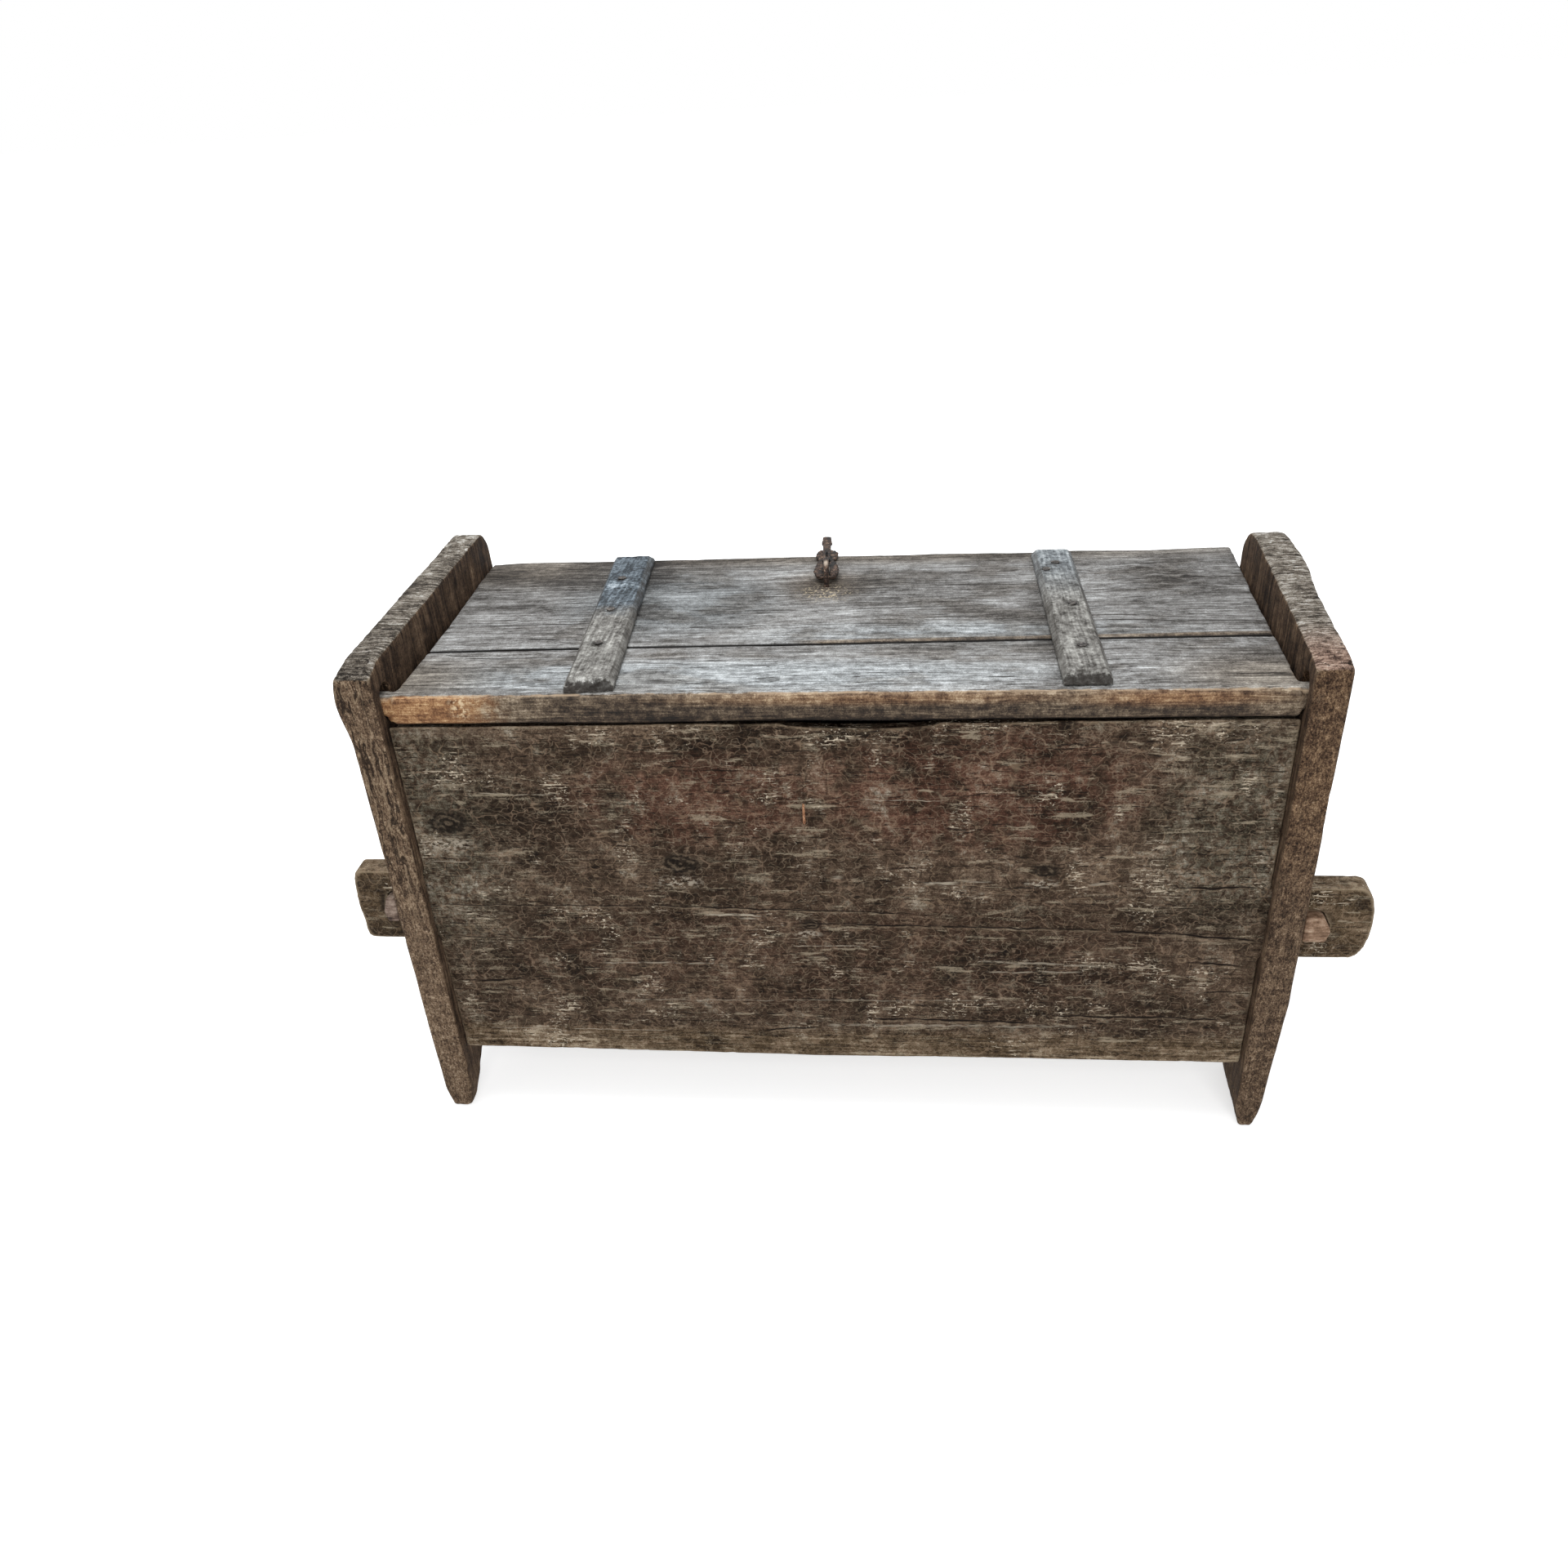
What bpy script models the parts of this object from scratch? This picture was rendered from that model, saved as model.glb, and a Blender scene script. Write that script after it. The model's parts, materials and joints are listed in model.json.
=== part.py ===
"""Plank storage chest: tusk-tenoned panels, a lid that turns on wooden pintles, a forged hasp.

Metres, +Z up, standing on the floor at z = 0. X runs along the chest, and +Y points from the
rear panel, where the lid turns, to the front panel, under the hasp. Sizes below are measured from
the middle of the length and from the rear panel's outer face; CHEST_ORIGIN then centres the whole.
"""
from math import cos, radians, sin

import bmesh
import bpy
from mathutils import Matrix, Vector

# Clearances
GAP = 0.0003
OVERRUN = 0.010
WELD = 0.00001
FLAT = radians(0.1)
SHARP = radians(50)

# Case
BOARD_SPACING = 1.040
CASE_DEPTH = 0.380
PANEL_T = 0.030
PANEL_BOTTOM_Z = 0.095
PANEL_HEIGHT = 0.482
SCOOP_PLACE_SHARE = 0.07
SCOOP_HALF_SHARE = 0.176
SCOOP_DEPTH = 0.007
SPLAY_SHARE = 0.042
EDGE_ROUND = 0.003

# End boards; rises are counted from the lid's top face, shares are of the case's depth
BOARD_T = 0.040
BOARD_PROUD = 0.0157
BOARD_NEAR_RISE = 0.0306
BOARD_TOP_SLOPE_Y = 0.030
BOARD_WAIST_SHARE = 0.77
ARCH_RISE = 0.082
FOOT_Z = 0.030
FOOT_TAPER_Z = 0.200
FOOT_INNER_WEAR = 0.0065
LEFT_OUTER_WEAR = (0.0015, 0.0090)
LEFT_RISE = 0.0426
LEFT_CREST_RISE = 0.0550
LEFT_CORNER = (0.024, 0.045)
LEFT_CORNER_PROUD = 0.042
LEFT_FAR_PROUD = 0.048
LEFT_SHOULDER_DROP = 0.104
LEFT_FOOT_INSET = 0.024
LEFT_ARCH_PLACE_SHARE = 0.450
LEFT_ARCH_HALF_SHARE = 0.418
RIGHT_OUTER_WEAR = (0.0090, 0.0170)
RIGHT_RISE = 0.0356
RIGHT_CREST_RISE = 0.0576
RIGHT_CORNER = (0.036, 0.055)
RIGHT_CORNER_PROUD = -0.024
RIGHT_FAR_PROUD = 0.022
RIGHT_SHOULDER_DROP = 0.110
RIGHT_FOOT_INSET = 0.004
RIGHT_ARCH_PLACE_SHARE = 0.521
RIGHT_ARCH_HALF_SHARE = 0.274

# Tusk tenons and their pegs
TENON_H = 0.0985
LEFT_TENON_SHARE = 0.483
RIGHT_TENON_SHARE = 0.448
LEFT_TENON_REACH = 0.055
RIGHT_TENON_REACH = 0.080
LEFT_TENON_NOSE = 0.008
RIGHT_TENON_NOSE = 0.018
LEFT_PEG_W = 0.018
RIGHT_PEG_W = 0.031
PEG_H = 0.036
PEG_PROUD = 0.012
PEG_TAIL = 0.024
PEG_TAPER_SHARE = 0.80
PEG_ROUND = 0.0015
PEG_CLEARANCE = 0.0005
PEG_OUTLINE_SHARES = ((0.0, 0.0), (0.84, 0.0), (1.0, 0.42), (0.68, 0.96), (0.30, 1.0), (0.0, 0.92))

# Floor planks, housed in the end boards
FLOOR_RISE = 0.030
FLOOR_T = 0.020
FLOOR_HOUSING = 0.010
FLOOR_COUNT = 3
FLOOR_SEAM = 0.0006

# Lid
LID_T = 0.0304
LID_CLEARANCE = 0.005
LID_REAR_Y = 0.0012
LID_OVERHANG = 0.048
LID_LEFT_GAP = 0.0095
LID_RIGHT_GAP = 0.0040
REAR_PLANK_W = 0.1348
LID_SEAM_SLOPE_SHARE = 0.014
LID_SEAM_GAP = 0.0012
NOSE_LOW_R = 0.010
NOSE_TOP_R = 0.0065
CHIP_LENGTH = 0.005
CHIP_DEPTH = 0.034
PINTLE_R = 0.0150
PINTLE_LENGTH = 0.024
SOCKET_DEPTH = 0.027
SOCKET_LIFT = 0.012

# Battens and their nails; places are shares of the half length and of the lid's depth, then for
# nails of the batten's length and of its half width
BATTEN_T = 0.0135
BATTEN_SIDE_H = 0.006
BATTEN_CHAMFER = 0.006
BATTEN_END_SLOPE = 0.012
LEFT_BATTEN_W = 0.057
LEFT_BATTEN_SHARES = ((-0.528, 0.018), (-0.586, 0.990))
RIGHT_BATTEN_W = 0.053
RIGHT_BATTEN_SHARES = ((0.558, 0.028), (0.556, 0.970))
LEFT_NAIL_SHARES = ((0.258, -0.11), (0.506, -0.12), (0.765, -0.13))
RIGHT_NAIL_SHARES = ((0.192, 0.07), (0.494, 0.20), (0.841, -0.02), (0.784, -0.54))
NAIL_HEAD_R = 0.0055
NAIL_HEAD_T = 0.0022
NAIL_SHANK_R = 0.0022
NAIL_BITE = 0.022

# Hasp and the staple that carries it
HASP_PLACE_SHARES = (-0.0372, 0.772)
HASP_TURN = radians(3.0)
HASP_LENGTH = 0.1545
HASP_ROD_R = 0.0026
HASP_LOOP_HALF = 0.0130
HASP_LOOP_LENGTH = 0.072
HASP_TAB_LENGTH = 0.026
HASP_TAB_W = 0.0090
HASP_TAB_T = 0.0050
RING_ROD_R = 0.0024
RING_CENTRE = 0.0930
RING_HALF_LENGTH = 0.0215
RING_HALF_WIDTH = 0.0125
RING_BITE = 0.0005
STAPLE_R = 0.0037
STAPLE_SPAN = 0.035
STAPLE_BACK = 0.0097
STAPLE_RISE = 0.0280
STAPLE_BITE = 0.020
LOOP_WIDTH_SHARES = (0.0, 0.62, 0.96, 1.0, 0.90, 0.62, 0.34)
LOOP_LENGTH_SHARES = (0.0, 0.02, 0.16, 0.36, 0.56, 0.78, 0.93)

# Old bent nail in the rear panel
CATCH_SHARES = (-0.060, 0.741)
CATCH_R = 0.0016
CATCH_BITE = 0.016
CATCH_PROUD = 0.006
CATCH_RISE = 0.026

# Facets
ARC_STEPS = 8
ARCH_STEPS = 20
ROUND_SIDES = 16
NAIL_SIDES = 10
TUBE_RESOLUTION = 2
SMOOTH_STEPS = 4

# Places that follow from the sizes
HALF = (BOARD_SPACING - BOARD_T) / 2
BOARD_OUTER = HALF + BOARD_T
REAR_TOP_Z = PANEL_BOTTOM_Z + PANEL_HEIGHT
LEFT_TENON_Z = PANEL_BOTTOM_Z + PANEL_HEIGHT * LEFT_TENON_SHARE
RIGHT_TENON_Z = PANEL_BOTTOM_Z + PANEL_HEIGHT * RIGHT_TENON_SHARE
FLOOR_Z = PANEL_BOTTOM_Z + FLOOR_RISE
LID_UNDER_Z = REAR_TOP_Z + LID_CLEARANCE
LID_TOP_Z = LID_UNDER_Z + LID_T
LID_FAR_Y = CASE_DEPTH + LID_OVERHANG
LID_SEAM_Y = LID_REAR_Y + REAR_PLANK_W
AXIS_Y = LID_REAR_Y + PINTLE_R + GAP
AXIS_Z = LID_UNDER_Z + LID_T / 2
FRONT_TOP_Z = LID_UNDER_Z - GAP
FRONT_FACE_Y = CASE_DEPTH - PANEL_T
HASP_AXIS_X = HALF * HASP_PLACE_SHARES[0]
HASP_AXIS_Y = LID_REAR_Y + (LID_FAR_Y - LID_REAR_Y) * HASP_PLACE_SHARES[1]
HASP_AXIS_Z = LID_TOP_Z + GAP + RING_ROD_R * 2 + HASP_ROD_R - RING_BITE
LEFT_TIP_X = -BOARD_OUTER - LEFT_TENON_REACH
RIGHT_TIP_X = BOARD_OUTER + RIGHT_TENON_REACH
RIGHT_TIP_X += SPLAY_SHARE * CASE_DEPTH * (RIGHT_TIP_X + HALF) / (HALF * 2)
NEAR_Y = -max(BOARD_PROUD, PEG_PROUD)
FAR_Y = HASP_AXIS_Y + HASP_LENGTH * cos(HASP_TURN) + HASP_TAB_W / 2 * sin(HASP_TURN)
CHEST_ORIGIN = Vector((-(LEFT_TIP_X + RIGHT_TIP_X) / 2, -(NEAR_Y + FAR_Y) / 2, 0.0))

# Axes maps: an outline's first, second and thickness directions to chest directions
ACROSS_X = Matrix(((0, 0, 1, 0), (1, 0, 0, 0), (0, 1, 0, 0), (0, 0, 0, 1)))
ACROSS_Y = Matrix(((1, 0, 0, 0), (0, 0, -1, 0), (0, 1, 0, 0), (0, 0, 0, 1)))
ACROSS_Z = Matrix.Identity(4)

# Colours: base colour, roughness, metallic
BOARD_WOOD = ((0.150, 0.112, 0.080), 0.85, 0.0)
PANEL_WOOD = ((0.098, 0.068, 0.049), 0.82, 0.0)
INSIDE_WOOD = ((0.135, 0.098, 0.068), 0.88, 0.0)
LID_WOOD = ((0.230, 0.210, 0.195), 0.80, 0.0)
BATTEN_WOOD = ((0.190, 0.195, 0.200), 0.82, 0.0)
PEG_WOOD = ((0.255, 0.165, 0.120), 0.80, 0.0)
IRON = ((0.070, 0.042, 0.030), 0.62, 0.85)


def clear_scene():
    """Remove whatever the new file starts with."""
    for obj in list(bpy.data.objects):
        bpy.data.objects.remove(obj, do_unlink=True)


clear_scene()
PARTS = bpy.data.collections.new("storage_chest")
CUTTERS = bpy.data.collections.new("cutters")
bpy.context.scene.collection.children.link(PARTS)
bpy.context.scene.collection.children.link(CUTTERS)


def empty(name, place, parent=None):
    """An axis or frame that pieces hang from; its own place is kept in chest sizes."""
    obj = bpy.data.objects.new(name, None)
    obj.empty_display_size = BOARD_T
    obj["place"] = tuple(place)
    obj.location = Vector(place) - (Vector(parent["place"]) if parent else Vector((0.0, 0.0, 0.0)))
    obj.parent = parent
    PARTS.objects.link(obj)
    return obj


CHEST_FRAME = empty("chest_frame", (0.0, 0.0, 0.0))
CHEST_FRAME.location = CHEST_ORIGIN
LID_AXIS = empty("lid_axis", (0.0, AXIS_Y, AXIS_Z), CHEST_FRAME)
HASP_AXIS = empty("hasp_axis", (HASP_AXIS_X, HASP_AXIS_Y, HASP_AXIS_Z), LID_AXIS)


def material(name, finish):
    """A plain finish for one piece."""
    colour, roughness, metallic = finish
    made = bpy.data.materials.new(name)
    made.use_nodes = True
    shader = made.node_tree.nodes["Principled BSDF"]
    shader.inputs["Base Color"].default_value = (*colour, 1.0)
    shader.inputs["Roughness"].default_value = roughness
    shader.inputs["Metallic"].default_value = metallic
    made.diffuse_color = (*colour, 1.0)
    return made


def splay(mesh):
    """The right end board isn't square: it and what meets it stand out towards the front."""
    for vert in mesh.vertices:
        reach_share = max(0.0, (vert.co.x + HALF) / (HALF * 2))
        vert.co.x += SPLAY_SHARE * vert.co.y * reach_share


def piece(name, mesh, finish, frame=CHEST_FRAME, splayed=True):
    """A named piece, built in chest sizes and hung from its frame."""
    place = Vector(frame["place"])
    if splayed:
        splay(mesh)
    mesh.name = name
    mesh.transform(Matrix.Translation(-place))
    mesh.materials.append(material(name, finish))
    obj = bpy.data.objects.new(name, mesh)
    obj.parent = frame
    PARTS.objects.link(obj)
    return obj


def cutter(name, mesh, splayed=True):
    """A hidden shape that a Boolean takes away or joins on."""
    if splayed:
        splay(mesh)
    obj = bpy.data.objects.new(name, mesh)
    obj.parent = CHEST_FRAME
    obj.hide_render = True
    obj.display_type = "WIRE"
    CUTTERS.objects.link(obj)
    return obj


def combine(obj, other, operation="DIFFERENCE"):
    """Cut the other shape from the piece, or join it on."""
    boolean = obj.modifiers.new(other.name, "BOOLEAN")
    boolean.operation = operation
    boolean.solver = "EXACT"
    boolean.object = other


def round_edges(obj, width, segments=1):
    """Worn edges: a small bevel on the sharp corners."""
    bevel = obj.modifiers.new("worn_edges", "BEVEL")
    bevel.width = width
    bevel.segments = segments
    bevel.limit_method = "ANGLE"
    bevel.angle_limit = radians(40)


def mesh_from(bm):
    """Turn a bmesh into a mesh."""
    mesh = bpy.data.meshes.new("shape")
    bm.to_mesh(mesh)
    bm.free()
    return mesh


def shade_round(mesh):
    """Shade the round faces smooth and keep the rims sharp."""
    mesh.shade_smooth()
    mesh.set_sharp_from_angle(angle=SHARP)
    return mesh


def box(low, high):
    """A box between two corners."""
    low, high = Vector(low), Vector(high)
    bm = bmesh.new()
    bmesh.ops.create_cube(bm, size=1.0)
    size = Matrix.Diagonal((*(high - low), 1.0))
    bmesh.ops.transform(bm, matrix=Matrix.Translation((low + high) / 2) @ size, verts=bm.verts)
    return mesh_from(bm)


def cylinder(start, end, radius, sides):
    """A cylinder between two points."""
    start, end = Vector(start), Vector(end)
    bm = bmesh.new()
    bmesh.ops.create_cone(bm, cap_ends=True, segments=sides, radius1=radius, radius2=radius,
                          depth=(end - start).length)
    turn = (end - start).to_track_quat("Z", "Y").to_matrix().to_4x4()
    bmesh.ops.transform(bm, matrix=Matrix.Translation((start + end) / 2) @ turn, verts=bm.verts)
    return shade_round(mesh_from(bm))


def curve_mesh(curve, place=ACROSS_Z):
    """Evaluate a curve, weld its caps, merge its flat faces and return the mesh in chest places."""
    temp = bpy.data.objects.new("curve", curve)
    bpy.context.scene.collection.objects.link(temp)
    graph = bpy.context.evaluated_depsgraph_get()
    mesh = bpy.data.meshes.new_from_object(temp.evaluated_get(graph))
    bpy.data.objects.remove(temp)
    bm = bmesh.new()
    bm.from_mesh(mesh)
    bmesh.ops.remove_doubles(bm, verts=bm.verts, dist=WELD)
    bmesh.ops.dissolve_limit(bm, angle_limit=FLAT, verts=bm.verts, edges=bm.edges)
    bm.to_mesh(mesh)
    bm.free()
    mesh.transform(place)
    return mesh


def plate(outline, thickness, middle, axes):
    """A flat outline given a thickness around its middle plane."""
    curve = bpy.data.curves.new("outline", "CURVE")
    curve.dimensions = "2D"
    curve.fill_mode = "BOTH"
    curve.extrude = thickness / 2
    spline = curve.splines.new("POLY")
    spline.points.add(len(outline) - 1)
    for point, (first, second) in zip(spline.points, outline):
        point.co = (first, second, 0.0, 1.0)
    spline.use_cyclic_u = True
    return curve_mesh(curve, axes @ Matrix.Translation((0.0, 0.0, middle)))


def tube(path, radius, closed=False, place=ACROSS_Z):
    """A round rod along a path."""
    curve = bpy.data.curves.new("rod", "CURVE")
    curve.dimensions = "3D"
    curve.bevel_depth = radius
    curve.bevel_resolution = TUBE_RESOLUTION
    curve.use_fill_caps = True
    spline = curve.splines.new("POLY")
    spline.points.add(len(path) - 1)
    for point, place_on_path in zip(spline.points, path):
        point.co = (*place_on_path, 1.0)
    spline.use_cyclic_u = closed
    return shade_round(curve_mesh(curve, place))


def arc(centre, radii, start, end, steps):
    """Points on an ellipse, from one angle to another in degrees."""
    turns = (radians(start + (end - start) * step / steps) for step in range(steps + 1))
    return [(centre[0] + radii[0] * cos(turn), centre[1] + radii[1] * sin(turn)) for turn in turns]


def smooth(points, steps):
    """A closed smooth path through the given points."""
    path = []
    count = len(points)
    for index in range(count):
        before, start, end, after = (Vector(points[(index + shift) % count]) for shift in (-1, 0, 1, 2))
        for step in range(steps):
            t = step / steps
            path.append(0.5 * (2 * start + (end - before) * t
                               + (2 * before - 5 * start + 4 * end - after) * t ** 2
                               + (3 * start - before - 3 * end + after) * t ** 3))
    return path


def turned_iron():
    """Where the hasp and its staple sit on the lid, turned a little off the square."""
    return Matrix.Translation((HASP_AXIS_X, HASP_AXIS_Y, HASP_AXIS_Z)) @ Matrix.Rotation(HASP_TURN, 4, "Z")


def board_outline(sizes):
    """Side view of an end board: two feet with an arch, a sloped rear corner, a round shoulder."""
    rise, crest_rise, corner, corner_proud, far_proud = sizes[:5]
    drop, foot_inset, arch_place_share, arch_half_share = sizes[5:]
    near = -BOARD_PROUD
    far = CASE_DEPTH + far_proud
    crest = LID_TOP_Z + crest_rise
    arch_middle = (CASE_DEPTH * arch_place_share, 0.0)
    outline = [(near, 0.0)]
    outline += arc(arch_middle, (CASE_DEPTH * arch_half_share, ARCH_RISE), 180, 0, ARCH_STEPS)
    outline += [(far - foot_inset, 0.0), (far, crest * BOARD_WAIST_SHARE), (far, crest - drop)]
    corner_middle = (CASE_DEPTH + corner_proud - corner[0], crest - corner[1])
    outline += arc(corner_middle, corner, 0, 90, ARC_STEPS)
    outline += [(near + BOARD_TOP_SLOPE_Y, LID_TOP_Z + rise), (near, LID_TOP_Z + BOARD_NEAR_RISE)]
    return outline


def taper_feet(mesh, middle, side, outer_wear):
    """Thin the board towards the floor, where the feet are worn to a blunt point."""
    ankle_wear, floor_wear = outer_wear
    bm = bmesh.new()
    bm.from_mesh(mesh)
    for height in (FOOT_TAPER_Z, FOOT_Z):
        everything = bm.verts[:] + bm.edges[:] + bm.faces[:]
        bmesh.ops.bisect_plane(bm, geom=everything, plane_co=(0.0, 0.0, height), plane_no=(0.0, 0.0, 1.0))
    for vert in bm.verts:
        foot_share = max(0.0, 1.0 - vert.co.z / FOOT_Z)
        leg_share = min(1.0, max(0.0, (FOOT_TAPER_Z - vert.co.z) / (FOOT_TAPER_Z - FOOT_Z)))
        if (vert.co.x - middle) * side > 0.0:
            vert.co.x -= side * (ankle_wear * leg_share + (floor_wear - ankle_wear) * foot_share)
        else:
            vert.co.x += side * FOOT_INNER_WEAR * foot_share
    bm.to_mesh(mesh)
    bm.free()


def socket(side):
    """The long hole in an end board that a pintle turns in, deep from the inner face."""
    radius = PINTLE_R + GAP
    outline = arc((AXIS_Y, AXIS_Z), (radius, radius), 180, 360, ARC_STEPS)
    outline += arc((AXIS_Y, AXIS_Z + SOCKET_LIFT), (radius, radius), 0, 180, ARC_STEPS)
    depth = SOCKET_DEPTH + OVERRUN
    return plate(outline, depth, side * (HALF - OVERRUN + depth / 2), ACROSS_X)


def end_board(name, side, sizes, outer_wear, tenon_z):
    """An end board with its mortises, floor housing and pintle socket."""
    middle = side * (HALF + BOARD_T / 2)
    mesh = plate(board_outline(sizes), BOARD_T, middle, ACROSS_X)
    taper_feet(mesh, middle, side, outer_wear)
    board = piece(name, mesh, BOARD_WOOD)
    round_edges(board, EDGE_ROUND, segments=2)
    through = sorted((side * (HALF - OVERRUN), side * (BOARD_OUTER + OVERRUN)))
    for label, face_y in (("rear", 0.0), ("front", FRONT_FACE_Y)):
        low = (through[0], face_y - GAP, tenon_z - TENON_H / 2 - GAP)
        high = (through[1], face_y + PANEL_T + GAP, tenon_z + TENON_H / 2 + GAP)
        combine(board, cutter(f"{name}_{label}_mortise", box(low, high)))
    housing = sorted((side * (HALF - OVERRUN), side * (HALF + FLOOR_HOUSING + GAP)))
    low = (housing[0], PANEL_T, FLOOR_Z - GAP)
    high = (housing[1], FRONT_FACE_Y, FLOOR_Z + FLOOR_T + GAP)
    combine(board, cutter(f"{name}_housing", box(low, high)))
    combine(board, cutter(f"{name}_socket", socket(side)))
    return board


def tenon_end(side, reach, nose, centre_z):
    """The outline of a tenon's free end, blunt and a little rounded."""
    shoulder = HALF - GAP
    tip = BOARD_OUTER + reach
    half = TENON_H / 2
    corner = arc((tip - nose, centre_z), (nose, half), -90, 90, ARC_STEPS)
    points = [(shoulder, centre_z - half)] + corner + [(shoulder, centre_z + half)]
    if side > 0:
        return points
    return [(-x, z) for x, z in reversed(points)]


def peg_outline(side, centre_z, clearance=0.0):
    """The five-sided cross-section of a peg, hard against the end board's outer face."""
    width = RIGHT_PEG_W if side > 0 else LEFT_PEG_W
    low = centre_z - PEG_H / 2
    points = [(side * (BOARD_OUTER + GAP + width * across), low + PEG_H * up)
              for across, up in PEG_OUTLINE_SHARES]
    middle = Vector((side * (BOARD_OUTER + GAP + width / 2), centre_z))
    return [tuple(middle + (Vector(point) - middle) * (1.0 + clearance * 2 / width)) for point in points]


def panel(name, face_y, top_edge):
    """A wide plank with a tusk tenon at each end and a hole for each peg."""
    shoulder = HALF - GAP
    outline = [(-shoulder, PANEL_BOTTOM_Z), (shoulder, PANEL_BOTTOM_Z)]
    outline += tenon_end(1, RIGHT_TENON_REACH, RIGHT_TENON_NOSE, RIGHT_TENON_Z)
    outline += top_edge
    outline += tenon_end(-1, LEFT_TENON_REACH, LEFT_TENON_NOSE, LEFT_TENON_Z)
    plank = piece(name, plate(outline, PANEL_T, -(face_y + PANEL_T / 2), ACROSS_Y), PANEL_WOOD)
    for label, side, centre_z in (("left", -1, LEFT_TENON_Z), ("right", 1, RIGHT_TENON_Z)):
        hole = plate(peg_outline(side, centre_z, PEG_CLEARANCE), PANEL_T + OVERRUN * 2,
                     -(face_y + PANEL_T / 2), ACROSS_Y)
        combine(plank, cutter(f"{name}_peg_hole_{label}", hole))
    return plank


def tusk_peg(name, side, face_y, centre_z):
    """A wooden peg that locks a tenon, narrowing towards its tail inside the chest's outline."""
    out = -1.0 if face_y == 0.0 else 1.0
    middle_y = face_y + PANEL_T / 2
    length = PANEL_T + PEG_PROUD + PEG_TAIL
    centre_y = middle_y + out * (PEG_PROUD - PEG_TAIL) / 2
    mesh = plate(peg_outline(side, centre_z), length, -centre_y, ACROSS_Y)
    for vert in mesh.vertices:
        if (vert.co.y - middle_y) * out < 0.0:
            vert.co.z = centre_z + (vert.co.z - centre_z) * PEG_TAPER_SHARE
    peg = piece(name, mesh, PEG_WOOD)
    round_edges(peg, PEG_ROUND)


def case():
    """The two panels, the end boards, the pegs and the floor."""
    shoulder = HALF - GAP
    scoop_middle = (HALF * SCOOP_PLACE_SHARE, REAR_TOP_Z)
    scoop = arc(scoop_middle, (HALF * SCOOP_HALF_SHARE, SCOOP_DEPTH), 0, -180, ARC_STEPS)
    rear_top = [(shoulder, REAR_TOP_Z)] + scoop + [(-shoulder, REAR_TOP_Z)]
    front_top = [(shoulder, FRONT_TOP_Z), (-shoulder, FRONT_TOP_Z)]
    rear = panel("rear_panel", 0.0, rear_top)
    panel("front_panel", FRONT_FACE_Y, front_top)
    left = (LEFT_RISE, LEFT_CREST_RISE, LEFT_CORNER, LEFT_CORNER_PROUD, LEFT_FAR_PROUD,
            LEFT_SHOULDER_DROP, LEFT_FOOT_INSET, LEFT_ARCH_PLACE_SHARE, LEFT_ARCH_HALF_SHARE)
    right = (RIGHT_RISE, RIGHT_CREST_RISE, RIGHT_CORNER, RIGHT_CORNER_PROUD, RIGHT_FAR_PROUD,
             RIGHT_SHOULDER_DROP, RIGHT_FOOT_INSET, RIGHT_ARCH_PLACE_SHARE, RIGHT_ARCH_HALF_SHARE)
    end_board("end_board_left", -1, left, LEFT_OUTER_WEAR, LEFT_TENON_Z)
    end_board("end_board_right", 1, right, RIGHT_OUTER_WEAR, RIGHT_TENON_Z)
    tusk_peg("tusk_peg_rear_left", -1, 0.0, LEFT_TENON_Z)
    tusk_peg("tusk_peg_rear_right", 1, 0.0, RIGHT_TENON_Z)
    tusk_peg("tusk_peg_front_left", -1, FRONT_FACE_Y, LEFT_TENON_Z)
    tusk_peg("tusk_peg_front_right", 1, FRONT_FACE_Y, RIGHT_TENON_Z)
    floor_planks()
    bent_nail(rear)


def floor_planks():
    """Planks laid lengthwise between the panels, their ends in the end boards."""
    room = FRONT_FACE_Y - PANEL_T - GAP * 2
    width = (room - FLOOR_SEAM * (FLOOR_COUNT - 1)) / FLOOR_COUNT
    reach = HALF + FLOOR_HOUSING
    for index in range(FLOOR_COUNT):
        start = PANEL_T + GAP + index * (width + FLOOR_SEAM)
        mesh = box((-reach, start, FLOOR_Z), (reach, start + width, FLOOR_Z + FLOOR_T))
        piece(f"floor_plank_{index + 1}", mesh, INSIDE_WOOD)


def bent_nail(rear):
    """A spent nail in the rear panel, bent up along its face."""
    x = HALF * CATCH_SHARES[0]
    z = PANEL_BOTTOM_Z + PANEL_HEIGHT * CATCH_SHARES[1]
    path = [(x, CATCH_BITE, z), (x, -CATCH_PROUD, z), (x, -CATCH_PROUD - CATCH_R, z + CATCH_R * 2),
            (x, -CATCH_PROUD, z + CATCH_RISE)]
    piece("rear_panel_nail", tube(path, CATCH_R), IRON)
    hole = cylinder((x, -OVERRUN, z), (x, CATCH_BITE + GAP, z), CATCH_R + GAP, NAIL_SIDES)
    combine(rear, cutter("rear_panel_nail_hole", hole))


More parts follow.
